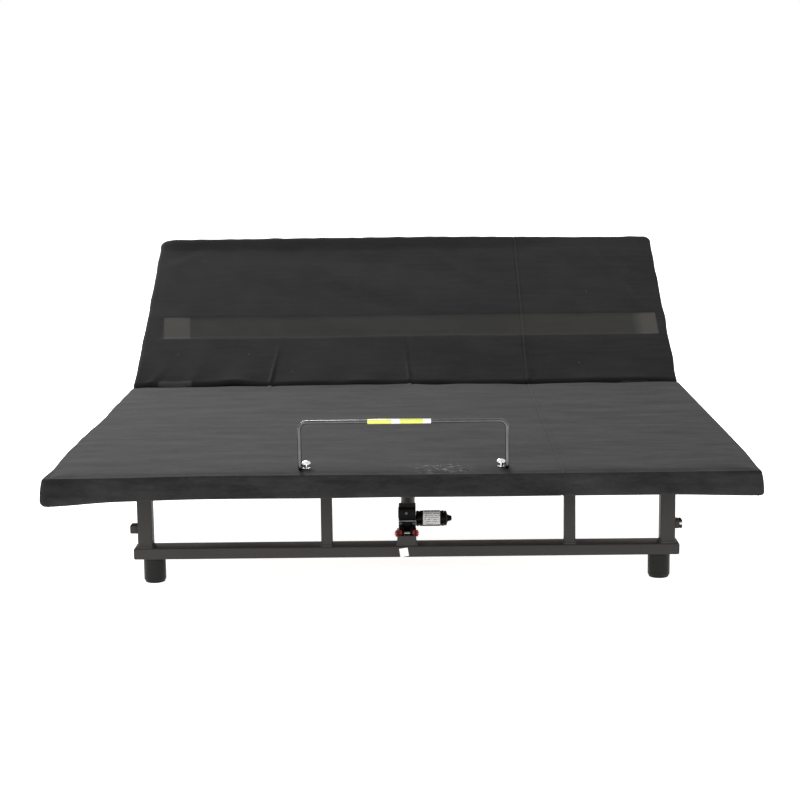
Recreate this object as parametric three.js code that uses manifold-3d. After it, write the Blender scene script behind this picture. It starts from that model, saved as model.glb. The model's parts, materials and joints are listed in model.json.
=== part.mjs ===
// Adjustable bed base: a steel base on four feet carries a fixed flat section and a hinged head
// section, which a linear actuator lifts by a slotted lever. Millimetres, +Z up, head end toward +Y.
import * as THREE from 'three';
import { mergeVertices } from 'three/addons/utils/BufferGeometryUtils.js';
import Module from 'manifold-3d';

const wasm = await Module();
wasm.setup();

// Overall sizes. Lengths along the bed are measured from the foot edge, heights from the floor.
const BED_WIDTH = 1524;
const DECK_LENGTH = 1270;
const HEAD_LENGTH = 762;
const SECTION_DEPTH = 50.8;
const DECK_TOP = 293.5;
const REST_ANGLE = THREE.MathUtils.degToRad(28.5);
const GAP = 0.3;

// Sections: a padded cover over boards over a frame of square tube.
const PAD = 12;
const COVER_WALL = 7.4;
const BOARD = 9;
const TUBE = 25.4;
const TUBE_WALL = 2;
const HINGE_SETBACK = 8;
const FRAME_INSET = COVER_WALL + 7.2;
const FOOT_CORNER = 20;
const HEAD_CORNER = 30;
const DECK_MID_AT = 622;
const HEAD_MID_AT = 345;
const DECK_BOARD_GAP = { start: 630, end: 640 };
const HEAD_BOARD_GAP = { start: 229, end: 340 };

// The head hinge axis lies at the underside of the padding.
const HINGE_Y = DECK_LENGTH;
const HINGE_Z = DECK_TOP - PAD;
const HINGE_X = 640;
const LEAF_WIDTH = 50;
const LEAF_THICK = 4;
const KNUCKLE_R = 6;
const HINGE_PIN_R = 3;
const LEAF_FACE = 15;
const LEAF_ARM = { top: -1, reach: 4, knee: -5, root: -8 };

// Base frame. It stands a little to the right of the sections' middle.
const FRAME_SHIFT = 5;
const FOOT_HEIGHT = 56.3;
const FOOT_R = 24.9;
const FOOT_X = 569.5;
const RAIL_HALF = 610;
const RAIL_DEPTH = 60;
const FRONT_FRAME_Y = 220;
const REAR_FRAME_Y = 1752;
const OUTER_POST = { width: 33, depth: 38, x: 586.5 };
const INNER_POST = { width: TUBE, depth: TUBE, left: -178, right: 367 };
const POST_SETBACK = 5;
const BEAM_X = 520;
const STUB = { back: 11, width: 28, bottom: 113.5, top: 133.5, left: 15, right: 9 };
const STUB_CAP = { end: 16, corner: 5 };

// Lift drive: a lever of LEVER_R below the hinge, pushed by an actuator pinned at the front rail.
const DRIVE_X = 7.5;
const DRIVE_Y = 250;
const DRIVE_Z = 104.5;
const LEVER_LEAN = THREE.MathUtils.degToRad(12);
const LEVER_R = (HINGE_Z - DRIVE_Z) / Math.cos(LEVER_LEAN);
const EYE_Y = HINGE_Y + LEVER_R * Math.sin(LEVER_LEAN);
const SLOT_HALF = 8.4;
const SLOT_TRAVEL = 30;
const CHEEK = { left: -18, right: 12, thick: 6, rim: 9, shoulder: 20, rootFront: 10, rootBack: 58 };
const ROD_PIN_R = 5;
const BRACKET_PIN_R = 4;

const FINISH = {
  frame_paint: { color: 0x44423e, roughness: 0.5, metalness: 0.4 },
  charcoal_fabric: { color: 0x3a3a3c, roughness: 0.95, metalness: 0 },
  board: { color: 0x8a6f50, roughness: 0.8, metalness: 0 },
  steel: { color: 0xb8b8b6, roughness: 0.35, metalness: 1 },
  black_wire: { color: 0x2a2a2b, roughness: 0.25, metalness: 0.8 },
  black_plastic: { color: 0x141415, roughness: 0.45, metalness: 0 },
  red_plastic: { color: 0xc02a2a, roughness: 0.45, metalness: 0 },
  motor_paint: { color: 0x101011, roughness: 0.35, metalness: 0.3 },
  tape: { color: 0xc8d23c, roughness: 0.4, metalness: 0 },
};

function piece(name, geometry, finish) {
  const mesh = new THREE.Mesh(geometry, new THREE.MeshStandardMaterial(FINISH[finish]));
  mesh.name = name;
  return mesh;
}

// A box between two corners.
function block([x0, y0, z0], [x1, y1, z1]) {
  const geometry = new THREE.BoxGeometry(x1 - x0, y1 - y0, z1 - z0);
  return geometry.translate((x0 + x1) / 2, (y0 + y1) / 2, (z0 + z1) / 2);
}

// A closed outline through corners [x, y, radius], each corner rounded by its radius.
function outline(corners, target = new THREE.Shape()) {
  const count = corners.length;
  corners.forEach(([x, y, radius = 0], i) => {
    const corner = new THREE.Vector2(x, y);
    const toward = (other) => new THREE.Vector2(...other.slice(0, 2)).sub(corner).setLength(radius);
    const start = toward(corners[(i + count - 1) % count]).add(corner);
    const end = toward(corners[(i + 1) % count]).add(corner);
    if (i === 0) {
      target.moveTo(start.x, start.y);
    } else {
      target.lineTo(start.x, start.y);
    }
    if (radius > 0) {
      target.quadraticCurveTo(x, y, end.x, end.y);
    }
  });
  target.closePath();
  return target;
}

function rectangle(x0, y0, x1, y1, target) {
  return outline([[x0, y0], [x1, y0], [x1, y1], [x0, y1]], target);
}

function circle(x, y, radius, target = new THREE.Path()) {
  target.absarc(x, y, radius, 0, 2 * Math.PI, false);
  return target;
}

function extrude(shape, depth, curveSegments = 6) {
  return new THREE.ExtrudeGeometry(shape, { depth, curveSegments, bevelEnabled: false });
}

// A profile drawn in the Y-Z plane, extruded from x0 to x1.
function plate(shape, x0, x1, curveSegments = 8) {
  const turn = new THREE.Matrix4().makeBasis(
    new THREE.Vector3(0, 1, 0),
    new THREE.Vector3(0, 0, 1),
    new THREE.Vector3(1, 0, 0),
  );
  return extrude(shape, x1 - x0, curveSegments).applyMatrix4(turn).translate(x0, 0, 0);
}

// An open-ended rectangular tube that fills the space between two corners and runs along one axis.
function boxTube(axis, low, high, wall = TUBE_WALL) {
  const size = high.map((value, i) => value - low[i]);
  const across = { x: [size[2], size[1]], y: [size[0], size[2]], z: [size[0], size[1]] }[axis];
  const length = size['xyz'.indexOf(axis)];
  const [a, b] = across.map((value) => value / 2);
  const shape = rectangle(-a, -b, a, b);
  shape.holes.push(rectangle(wall - a, wall - b, a - wall, b - wall, new THREE.Path()));
  const geometry = extrude(shape, length).translate(0, 0, -length / 2);
  if (axis === 'x') {
    geometry.rotateY(Math.PI / 2);
  }
  if (axis === 'y') {
    geometry.rotateX(-Math.PI / 2);
  }
  return geometry.translate(...low.map((value, i) => (value + high[i]) / 2));
}

// A turned piece: profile points [radius, distance along the axis].
function turned(axis, profile, segments = 24) {
  const points = profile.map(([radius, along]) => new THREE.Vector2(radius, along));
  const geometry = new THREE.LatheGeometry(points, segments);
  if (axis === 'x') {
    geometry.rotateZ(-Math.PI / 2);
  }
  if (axis === 'z') {
    geometry.rotateX(Math.PI / 2);
  }
  return geometry;
}

function solid(geometry) {
  const bare = geometry.clone();
  bare.deleteAttribute('normal');
  bare.deleteAttribute('uv');
  const merged = mergeVertices(bare, 1e-4);
  const vertProperties = new Float32Array(merged.attributes.position.array);
  const triVerts = new Uint32Array(merged.index.array);
  return new wasm.Manifold(new wasm.Mesh({ numProp: 3, vertProperties, triVerts }));
}

function surface(body) {
  const mesh = body.getMesh();
  const geometry = new THREE.BufferGeometry();
  geometry.setAttribute('position', new THREE.BufferAttribute(mesh.vertProperties, 3));
  geometry.setIndex(new THREE.BufferAttribute(mesh.triVerts, 1));
  geometry.computeVertexNormals();
  return geometry;
}

function join(first, ...others) {
  return surface(others.reduce((body, other) => body.add(solid(other)), solid(first)));
}

function cut(first, ...others) {
  return surface(others.reduce((body, other) => body.subtract(solid(other)), solid(first)));
}

// ---- Base frame -------------------------------------------------------------------------------

const RAIL_TOP = FOOT_HEIGHT + TUBE;
const SECTION_BOTTOM = DECK_TOP - SECTION_DEPTH;
const BEAM_TOP = SECTION_BOTTOM - GAP;
const BEAM_BOTTOM = BEAM_TOP - TUBE;

function foot(name, x, y) {
  const top = FOOT_HEIGHT - GAP;
  const sole = FOOT_R - 2;
  const profile = [
    [0, 0], [sole - 1.5, 0], [sole, 1.5], [sole, 5], [FOOT_R, 6], [FOOT_R, top], [0, top],
  ];
  return piece(name, turned('z', profile, 32).translate(x, y, 0), 'frame_paint');
}

function post(name, x, frameY, width, depth) {
  const y = frameY + RAIL_DEPTH / 2 + (depth - OUTER_POST.depth) / 2 - POST_SETBACK;
  const low = [x - width / 2, y - depth / 2, RAIL_TOP + GAP];
  const high = [x + width / 2, y + depth / 2, BEAM_BOTTOM - GAP];
  return piece(name, boxTube('z', low, high), 'frame_paint');
}

function legFrame(end, frameY) {
  const railLow = [-RAIL_HALF, frameY, FOOT_HEIGHT];
  const railHigh = [RAIL_HALF, frameY + RAIL_DEPTH, RAIL_TOP];
  const topY = frameY + RAIL_DEPTH / 2 - POST_SETBACK;
  const topLow = [-RAIL_HALF, topY - TUBE / 2, BEAM_BOTTOM];
  const topHigh = [RAIL_HALF, topY + TUBE / 2, BEAM_TOP];
  const pieces = [
    piece(`${end}_cross_rail`, boxTube('x', railLow, railHigh), 'frame_paint'),
    piece(`${end}_top_tube`, boxTube('x', topLow, topHigh), 'frame_paint'),
  ];
  for (const [side, sign] of [['left', -1], ['right', 1]]) {
    const outer = OUTER_POST;
    pieces.push(post(`${end}_upright_outer_${side}`, sign * outer.x, frameY, outer.width, outer.depth));
    pieces.push(foot(`${end}_foot_${side}`, sign * FOOT_X, frameY + RAIL_DEPTH / 2));
  }
  return pieces;
}

function innerPosts() {
  const { width, depth, left, right } = INNER_POST;
  return [
    post('front_upright_inner_left', left, FRONT_FRAME_Y, width, depth),
    post('front_upright_inner_right', right, FRONT_FRAME_Y, width, depth),
  ];
}

// Beams along the bed join the two leg frames under the sections.
function sideBeams() {
  const middle = RAIL_DEPTH / 2 - POST_SETBACK;
  const y0 = FRONT_FRAME_Y + middle + TUBE / 2 + GAP;
  const y1 = REAR_FRAME_Y + middle - TUBE / 2 - GAP;
  return [['left', -1], ['right', 1]].map(([side, sign]) => {
    const x = sign * BEAM_X;
    const low = [x - TUBE / 2, y0, BEAM_BOTTOM];
    const high = [x + TUBE / 2, y1, BEAM_TOP];
    return piece(`side_beam_${side}`, boxTube('y', low, high), 'frame_paint');
  });
}

// Short stubs on the outer faces of the front posts take a headboard or footboard bracket.
function sideStubs() {
  const face = OUTER_POST.x + OUTER_POST.width / 2 + GAP;
  const y0 = FRONT_FRAME_Y + STUB.back;
  const y1 = y0 + STUB.width;
  const { bottom, top } = STUB;
  const capFace = face + STUB.right + GAP;
  const left = boxTube('x', [-face - STUB.left, y0, bottom], [-face, y1, top]);
  const right = boxTube('x', [face, y0, bottom], [face + STUB.right, y1, top]);
  const corners = [[y0, bottom], [y1, bottom], [y1, top], [y0, top]];
  const capShape = outline(corners.map((at) => [...at, STUB_CAP.corner]));
  return [
    piece('side_stub_left', left, 'frame_paint'),
    piece('side_stub_right', right, 'frame_paint'),
    piece('side_stub_cap', plate(capShape, capFace, face + STUB_CAP.end), 'black_plastic'),
  ];
}

function baseFrame() {
  const group = new THREE.Group();
  group.position.x = FRAME_SHIFT;
  group.add(...legFrame('front', FRONT_FRAME_Y), ...legFrame('rear', REAR_FRAME_Y));
  group.add(...innerPosts(), ...sideBeams(), ...sideStubs());
  return group;
}

// ---- Flat section and head section ------------------------------------------------------------

// An open-bottomed cover over a section, its two outer corners rounded and its hinge end open.
// The outer end lies at y = outer and the hinge end at y = inner; z = 0 is the padding's underside.
function cover(outer, inner, corner) {
  const half = BED_WIDTH / 2;
  const way = Math.sign(inner - outer);
  const outside = outline([[-half, outer, corner], [-half, inner], [half, inner], [half, outer, corner]]);
  const edge = outer + way * COVER_WALL;
  const side = half - COVER_WALL;
  const round = corner - COVER_WALL;
  const past = inner + way * 10;
  const inside = outline([[-side, edge, round], [-side, past], [side, past], [side, edge, round]]);
  const bottom = PAD - SECTION_DEPTH;
  const body = extrude(outside, SECTION_DEPTH).translate(0, 0, bottom);
  const hollow = extrude(inside, -bottom + GAP + 10).translate(0, 0, bottom - 10);
  return cut(body, hollow);
}

// Tubes and boards of one section. y = 0 is the hinge axis and the section runs along +Y or -Y.
function sectionFrame(name, way, length, midAt, boards) {
  const half = BED_WIDTH / 2 - FRAME_INSET;
  const z1 = -BOARD - GAP;
  const z0 = z1 - TUBE;
  const hingeEnd = LEAF_FACE + GAP;
  const outerEnd = length - FRAME_INSET;
  const spanY = (a, b) => (way > 0 ? [a, b] : [-b, -a]);
  const tubeAcross = (label, start) => {
    const [y0, y1] = spanY(start, start + TUBE);
    const inside = half - TUBE - GAP;
    return piece(`${name}_${label}`, boxTube('x', [-inside, y0, z0], [inside, y1, z1]), 'frame_paint');
  };
  const pieces = [
    tubeAcross('hinge_tube', hingeEnd),
    tubeAcross('mid_tube', midAt),
    tubeAcross('end_tube', outerEnd - TUBE),
  ];
  for (const [side, sign] of [['left', -1], ['right', 1]]) {
    const [y0, y1] = spanY(hingeEnd, outerEnd);
    const [x0, x1] = [sign * half, sign * (half - TUBE)].sort((a, b) => a - b);
    pieces.push(piece(`${name}_side_rail_${side}`, boxTube('y', [x0, y0, z0], [x1, y1, z1]), 'frame_paint'));
  }
  for (const [label, start, end] of boards) {
    const [y0, y1] = spanY(start, end);
    pieces.push(piece(`${name}_board_${label}`, block([-half, y0, -BOARD], [half, y1, 0]), 'board'));
  }
  return pieces;
}

function flatSection() {
  const end = DECK_LENGTH - FRAME_INSET;
  const { start: gapStart, end: gapEnd } = DECK_BOARD_GAP;
  const boards = [['middle', LEAF_FACE + GAP, gapStart], ['foot', gapEnd, end]];
  const group = new THREE.Group();
  group.position.set(0, HINGE_Y, HINGE_Z);
  group.add(...sectionFrame('deck', -1, DECK_LENGTH, DECK_MID_AT, boards));
  group.add(piece('deck_cover', cover(-DECK_LENGTH, -HINGE_SETBACK, FOOT_CORNER), 'charcoal_fabric'));
  return group;
}

function headSection() {
  const end = HEAD_LENGTH - FRAME_INSET;
  const { start: gapStart, end: gapEnd } = HEAD_BOARD_GAP;
  const boards = [['lower', LEAF_FACE + GAP, gapStart], ['upper', gapEnd, end]];
  const group = new THREE.Group();
  group.position.set(0, HINGE_Y, HINGE_Z);
  group.rotation.x = REST_ANGLE;
  group.add(...sectionFrame('head', 1, HEAD_LENGTH, HEAD_MID_AT, boards));
  group.add(piece('head_cover', cover(HEAD_LENGTH, HINGE_SETBACK, HEAD_CORNER), 'charcoal_fabric'));
  group.add(...liftCheeks());
  return group;
}

// ---- Hinges -----------------------------------------------------------------------------------

// One leaf: a plate against the frame tube, with a knuckle on half of its width.
function hingeLeaf(way, x0, knuckleStart) {
  const face = way * LEAF_FACE;
  const back = way * (LEAF_FACE - LEAF_THICK);
  const low = -BOARD - TUBE;
  const web = new THREE.Shape();
  web.moveTo(face, low);
  web.lineTo(face, LEAF_ARM.top);
  web.lineTo(way * LEAF_ARM.reach, LEAF_ARM.top);
  web.lineTo(way * LEAF_ARM.reach, LEAF_ARM.knee);
  web.lineTo(back, LEAF_ARM.root);
  web.lineTo(back, low);
  web.closePath();
  const flat = rectangle(Math.min(face, back), low, Math.max(face, back), LEAF_ARM.root);
  const half = LEAF_WIDTH / 2 - GAP;
  const wide = plate(flat, x0, x0 + LEAF_WIDTH);
  const knuckle = plate(circle(0, 0, KNUCKLE_R, new THREE.Shape()), knuckleStart, knuckleStart + half);
  const arm = plate(web, knuckleStart, knuckleStart + half);
  const bore = plate(circle(0, 0, HINGE_PIN_R + GAP, new THREE.Shape()), x0 - 5, x0 + LEAF_WIDTH + 5);
  return cut(join(wide, arm, knuckle), bore);
}

function hinges() {
  const fixed = new THREE.Group();
  const moving = new THREE.Group();
  fixed.position.set(0, HINGE_Y, HINGE_Z);
  moving.position.copy(fixed.position);
  moving.rotation.x = REST_ANGLE;
  for (const [side, sign] of [['left', -1], ['right', 1]]) {
    const x0 = sign * HINGE_X - LEAF_WIDTH / 2;
    const centre = x0 + LEAF_WIDTH / 2;
    const pinEnd = LEAF_WIDTH / 2 + 2;
    const pin = [[0, -pinEnd], [HINGE_PIN_R, -pinEnd], [HINGE_PIN_R, pinEnd], [0, pinEnd]];
    fixed.add(piece(`hinge_leaf_fixed_${side}`, hingeLeaf(-1, x0, x0), 'frame_paint'));
    fixed.add(piece(`hinge_pin_${side}`, turned('x', pin, 16).translate(centre, 0, 0), 'steel'));
    moving.add(piece(`hinge_leaf_moving_${side}`, hingeLeaf(1, x0, centre + GAP), 'frame_paint'));
  }
  return [fixed, moving];
}

// ---- Lift lever -------------------------------------------------------------------------------

// Two slotted cheeks hang from the head section and lean toward the foot in its own frame.
function liftCheeks() {
  const lean = LEVER_LEAN - REST_ANGLE;
  const along = new THREE.Vector2(Math.sin(lean), -Math.cos(lean));
  const beside = new THREE.Vector2(-along.y, along.x);
  const at = (distance, offset) => [
    along.x * distance + beside.x * offset,
    along.y * distance + beside.y * offset,
  ];
  const start = LEVER_R - 2;
  const stop = LEVER_R + SLOT_TRAVEL;
  const rim = SLOT_HALF + CHEEK.rim;
  const neck = start - 30;
  const top = -BOARD - TUBE - 2 * GAP;
  const shape = outline([
    [CHEEK.rootBack, top],
    [CHEEK.rootFront, top],
    [...at(neck, -rim), CHEEK.shoulder],
    [...at(stop + rim, -rim), rim * 0.9],
    [...at(stop + rim, rim), rim * 0.9],
    [...at(neck, rim), CHEEK.shoulder],
  ]);
  const slot = outline([
    [...at(start - SLOT_HALF, SLOT_HALF), SLOT_HALF * 0.8],
    [...at(stop + SLOT_HALF, SLOT_HALF), SLOT_HALF * 0.8],
    [...at(stop + SLOT_HALF, -SLOT_HALF), SLOT_HALF * 0.8],
    [...at(start - SLOT_HALF, -SLOT_HALF), SLOT_HALF * 0.8],
  ], new THREE.Path());
  shape.holes.push(slot);
  return ['left', 'right'].map((side) => {
    const x = DRIVE_X + CHEEK[side];
    return piece(`lift_cheek_${side}`, plate(shape, x, x + CHEEK.thick), 'frame_paint');
  });
}

// ---- Actuator: its own frame has the rear pin at the origin and the rod along +Y ---------------

const HOUSING_HALF = 19.5;
const HOUSING_FRONT = 40;
const HOUSING_BACK = 100;
const HOUSING_BOTTOM = -19;
const HOUSING_SPLIT = 19;
const HOUSING_TOP = 50;
const MOTOR_Z = 18.5;
const MOTOR_R = 18;
const MOTOR_LENGTH = 64;
const BARREL_R = 17;
const BARREL_BORE = 13.5;
const TUBE_END = 470;
const COLLAR = { thick: 1.5, length: 30, bore: 11.4, lip: 12 };
const BRACKET = { left: -22.5, right: 20.5, wall: 3, front: -28, back: 22, bore: 6 };
const EAR = { front: -14, back: 16, top: 11 };
const BUSH = { radius: 7.5, proud: 4, inner: 13 };
const TANG = { inner: 6.5, thick: 6, front: -9, bottom: -10, top: 9, corner: 8 };
const SPINDLE = { radius: 6, tip: 4.5, start: 62, clearance: 0.6 };
const NUT = { at: 310, radius: 13.2, length: 25 };
const ROD = { radius: 11, bore: 7.5, thread: 6.3 };
const EYE = { back: 30, past: 13, half: 12, corner: 11, width: 21 };
const ROD_PIN_HEAD = { radius: 10, start: 19, end: 23 };
// Far enough to pass right through any drive piece.
const THROUGH = 60;

function actuatorBracket() {
  const { left, right, wall, front, back, bore } = BRACKET;
  const railTop = RAIL_TOP + GAP - DRIVE_Z;
  const { top } = EAR;
  const side = outline([
    [front, railTop], [back, railTop], [EAR.back, top, top], [EAR.front, top, top], [front, 0],
  ]);
  const holes = plate(circle(0, 0, bore, new THREE.Shape()), -THROUGH, THROUGH);
  const inside = block([left + wall, front + wall, railTop + wall], [right - wall, THROUGH, THROUGH]);
  const aboveWeb = block([left + wall, -THROUGH, 0.5], [right - wall, 0, THROUGH]);
  return piece('actuator_bracket', cut(plate(side, left, right), inside, aboveWeb, holes), 'frame_paint');
}

// A flanged bush held in one ear of the bracket. way points outward along X.
function pinBush(side, way) {
  const bore = BRACKET_PIN_R + GAP;
  const neck = BRACKET.bore - GAP;
  const outerEnd = BRACKET[side] + way * BUSH.proud;
  const earOuter = BRACKET[side] + way * GAP;
  const earInner = BRACKET[side] - way * (BRACKET.wall + GAP);
  const innerEnd = way * BUSH.inner;
  const profile = [
    [bore, outerEnd], [BUSH.radius, outerEnd], [BUSH.radius, earOuter], [neck, earOuter],
    [neck, earInner], [BUSH.radius, earInner], [BUSH.radius, innerEnd], [bore, innerEnd],
    [bore, outerEnd],
  ];
  const ordered = way < 0 ? profile : profile.reverse();
  return piece(`pin_bush_${side}`, turned('x', ordered), 'red_plastic');
}

function gearHousing() {
  const low = [-HOUSING_HALF, HOUSING_FRONT, HOUSING_BOTTOM];
  const body = block(low, [HOUSING_HALF, HOUSING_BACK, HOUSING_SPLIT]);
  const { inner, thick, front, bottom, top, corner } = TANG;
  const root = HOUSING_FRONT + 5;
  const tang = outline([[root, bottom], [root, top], [front, top, corner], [front, bottom, corner]]);
  const ribs = [-inner - thick, inner].map((x) => plate(tang, x, x + thick));
  const pinHole = plate(circle(0, 0, BRACKET_PIN_R + GAP, new THREE.Shape()), -THROUGH, THROUGH);
  const bore = SPINDLE.radius + SPINDLE.clearance;
  const [start, end] = [SPINDLE.start - 2, HOUSING_BACK + 20];
  const socket = turned('y', [[0, start], [bore, start], [bore, end], [0, end]]);
  return piece('gear_housing', cut(join(body, ...ribs), pinHole, socket), 'black_plastic');
}

function gearHousingCover() {
  const front = HOUSING_FRONT;
  const back = HOUSING_BACK;
  const bottom = HOUSING_SPLIT + GAP;
  const side = outline([[front, bottom], [back, bottom], [back, HOUSING_TOP, 6], [front, HOUSING_TOP, 10]]);
  return piece('gear_housing_cover', plate(side, -HOUSING_HALF, HOUSING_HALF), 'black_plastic');
}

function motor() {
  const [r, end, capAt] = [MOTOR_R, MOTOR_LENGTH, MOTOR_LENGTH + GAP];
  const can = [[0, 0], [r - 3, 0], [r, 2], [r, end - 2], [r - 1, end], [0, end]];
  const cap = [
    [0, capAt], [r - 1, capAt], [r - 1, end + 6], [r - 7, end + 8],
    [8, end + 8], [8, end + 13], [5, end + 18], [0, end + 18],
  ];
  const y = (HOUSING_FRONT + HOUSING_BACK) / 2;
  const place = (geometry) => geometry.translate(HOUSING_HALF + GAP, y, MOTOR_Z);
  return [
    piece('motor_can', place(turned('x', can, 32)), 'motor_paint'),
    piece('motor_end_cap', place(turned('x', cap, 32)), 'black_plastic'),
  ];
}

function actuatorTube() {
  const start = HOUSING_BACK + GAP;
  const outer = BARREL_R + COLLAR.thick;
  const collarAt = TUBE_END - COLLAR.length;
  const lipAt = TUBE_END - COLLAR.lip;
  const profile = [
    [BARREL_BORE, start], [BARREL_R, start], [BARREL_R, collarAt], [outer, collarAt],
    [outer, TUBE_END], [COLLAR.bore, TUBE_END], [COLLAR.bore, lipAt], [BARREL_BORE, lipAt],
    [BARREL_BORE, start],
  ];
  return piece('actuator_tube', turned('y', profile, 32), 'black_plastic');
}

function spindle() {
  const { radius, tip, start } = SPINDLE;
  const end = TUBE_END - COLLAR.lip - 1;
  const profile = [[0, start], [radius, start], [radius, end - 2], [tip, end], [0, end]];
  return piece('spindle', turned('y', profile, 16), 'steel');
}

// The rod is a tube with its nut at the near end and an eye at the far end.
function pushRod() {
  const eyeAt = EYE_Y - DRIVE_Y;
  const barrelEnd = eyeAt - EYE.back;
  const boreEnd = barrelEnd - 8;
  const nutEnd = NUT.at + NUT.length;
  const tube = turned('y', [
    [0, boreEnd], [ROD.bore, boreEnd], [ROD.bore, nutEnd - 1], [ROD.thread, nutEnd - 1],
    [ROD.thread, NUT.at], [NUT.radius, NUT.at], [NUT.radius, nutEnd], [ROD.radius, nutEnd],
    [ROD.radius, barrelEnd], [0, barrelEnd],
  ]);
  const { half, corner } = EYE;
  const [eyeStart, eyeStop] = [barrelEnd - 3, eyeAt + EYE.past];
  const eyeShape = outline([
    [eyeStart, -half], [eyeStop, -half, corner], [eyeStop, half, corner], [eyeStart, half],
  ]);
  const eye = plate(eyeShape, -EYE.width / 2, EYE.width / 2);
  const hole = plate(circle(eyeAt, 0, ROD_PIN_R + GAP, new THREE.Shape()), -THROUGH, THROUGH);
  return piece('push_rod', cut(join(tube, eye), hole), 'black_wire');
}

function rodPin() {
  const { radius: head, start, end } = ROD_PIN_HEAD;
  const half = [[ROD_PIN_R, start], [head, start], [head, end], [0, end]];
  const profile = [...half.map(([radius, along]) => [radius, -along]).reverse(), ...half];
  return piece('rod_pin', turned('x', profile).translate(0, EYE_Y - DRIVE_Y, 0), 'steel');
}

function actuator() {
  const group = new THREE.Group();
  group.position.set(DRIVE_X, DRIVE_Y, DRIVE_Z);
  const pinStart = BRACKET.left - BUSH.proud - 2;
  const pinEnd = BRACKET.right + BUSH.proud + 2;
  const pin = [[0, pinStart], [BRACKET_PIN_R, pinStart], [BRACKET_PIN_R, pinEnd], [0, pinEnd]];
  group.add(
    actuatorBracket(),
    piece('bracket_pin', turned('x', pin), 'steel'),
    pinBush('left', -1),
    pinBush('right', 1),
    gearHousing(),
    gearHousingCover(),
    ...motor(),
    actuatorTube(),
    spindle(),
    pushRod(),
    rodPin(),
  );
  return group;
}

// ---- Mattress retainer bar at the foot end ----------------------------------------------------

const WIRE_R = 4;
const BAR = { left: -216, right: 222, front: 12, back: 66, top: DECK_TOP + 108, bend: 17 };
const SLEEVE = { left: -72, right: 62, thick: 0.9 };
const KNOBS = { left: -205, right: 211, y: 58 };

// Points along a line with its inner corners rounded.
function roundedLine(corners, radius, steps) {
  const points = [corners[0]];
  for (let i = 1; i < corners.length - 1; i += 1) {
    const toward = (other) => other.clone().sub(corners[i]).setLength(radius).add(corners[i]);
    const [start, end] = [toward(corners[i - 1]), toward(corners[i + 1])];
    points.push(...new THREE.QuadraticBezierCurve3(start, corners[i], end).getPoints(steps));
  }
  points.push(corners[corners.length - 1]);
  return points;
}

// A path made of straight pieces between points.
function polyline(points) {
  const path = new THREE.CurvePath();
  for (let i = 1; i < points.length; i += 1) {
    path.add(new THREE.LineCurve3(points[i - 1], points[i]));
  }
  return path;
}

function retainerBar() {
  const lying = DECK_TOP + GAP + WIRE_R;
  const corners = [
    new THREE.Vector3(BAR.left, BAR.back, lying),
    new THREE.Vector3(BAR.left, BAR.front, lying),
    new THREE.Vector3(BAR.left, BAR.front, BAR.top),
    new THREE.Vector3(BAR.right, BAR.front, BAR.top),
    new THREE.Vector3(BAR.right, BAR.front, lying),
    new THREE.Vector3(BAR.right, BAR.back, lying),
  ];
  const section = circle(0, 0, WIRE_R, new THREE.Shape());
  const extrudePath = polyline(roundedLine(corners, BAR.bend, 6));
  const geometry = new THREE.ExtrudeGeometry(section, { steps: 90, curveSegments: 5, extrudePath });
  return piece('retainer_bar', geometry, 'black_wire');
}

function reflectiveSleeve() {
  const inner = WIRE_R + GAP;
  const outer = inner + SLEEVE.thick;
  const { left, right } = SLEEVE;
  const profile = [[inner, left], [outer, left], [outer, right], [inner, right], [inner, left]];
  return piece('reflective_sleeve', turned('x', profile).translate(0, BAR.front, BAR.top), 'tape');
}

function retainerKnob(side) {
  const profile = [[0, 0], [4, 0], [4, 9.5], [10, 9.5], [10, 12], [7, 15], [0, 16.5]];
  const z = DECK_TOP + GAP;
  return piece(`retainer_knob_${side}`, turned('z', profile).translate(KNOBS[side], KNOBS.y, z), 'steel');
}

// ---- Control box under the flat section -------------------------------------------------------

const CONTROL_BOX = { left: 200, right: 390, length: 120, height: 38, corner: 10 };
const GLAND = { x: 230, drop: 20, tip: 6, root: 9, length: 20, overlap: 5 };

function controlBox() {
  const { left, right, length, height, corner } = CONTROL_BOX;
  const top = HINGE_Z - BOARD - 2 * GAP - TUBE;
  const y = HINGE_Y - DECK_MID_AT - TUBE / 2;
  const [y0, y1] = [y - length / 2, y + length / 2];
  const corners = [[left, y0], [right, y0], [right, y1], [left, y1]];
  const shape = outline(corners.map((at) => [...at, corner]));
  const body = extrude(shape, height).translate(0, 0, top - height);
  const { tip, root, length: out, overlap } = GLAND;
  const gland = turned('y', [[0, -out], [tip, -out], [root, overlap], [0, overlap]]);
  return piece('control_box', join(body, gland.translate(GLAND.x, y0, top - GLAND.drop)), 'black_plastic');
}

// ---- The whole bed base, with its footprint centred on the origin -----------------------------

const overallLength = HINGE_Y + HEAD_LENGTH * Math.cos(REST_ANGLE)
  + (SECTION_DEPTH - PAD) * Math.sin(REST_ANGLE);
const bed = new THREE.Group();
bed.position.y = -overallLength / 2;
bed.add(
  baseFrame(),
  flatSection(),
  headSection(),
  ...hinges(),
  actuator(),
  retainerBar(),
  reflectiveSleeve(),
  retainerKnob('left'),
  retainerKnob('right'),
  controlBox(),
);

export default bed;
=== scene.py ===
"""Looks for an adjustable bed base: fabric covers, painted tube frame, lift actuator and retainer bar."""
import json
import math
from contextlib import contextmanager

import bmesh
import bpy
import numpy as np
from bpy.props import FloatProperty, FloatVectorProperty, IntProperty, PointerProperty
from mathutils import Matrix, Vector


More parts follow.
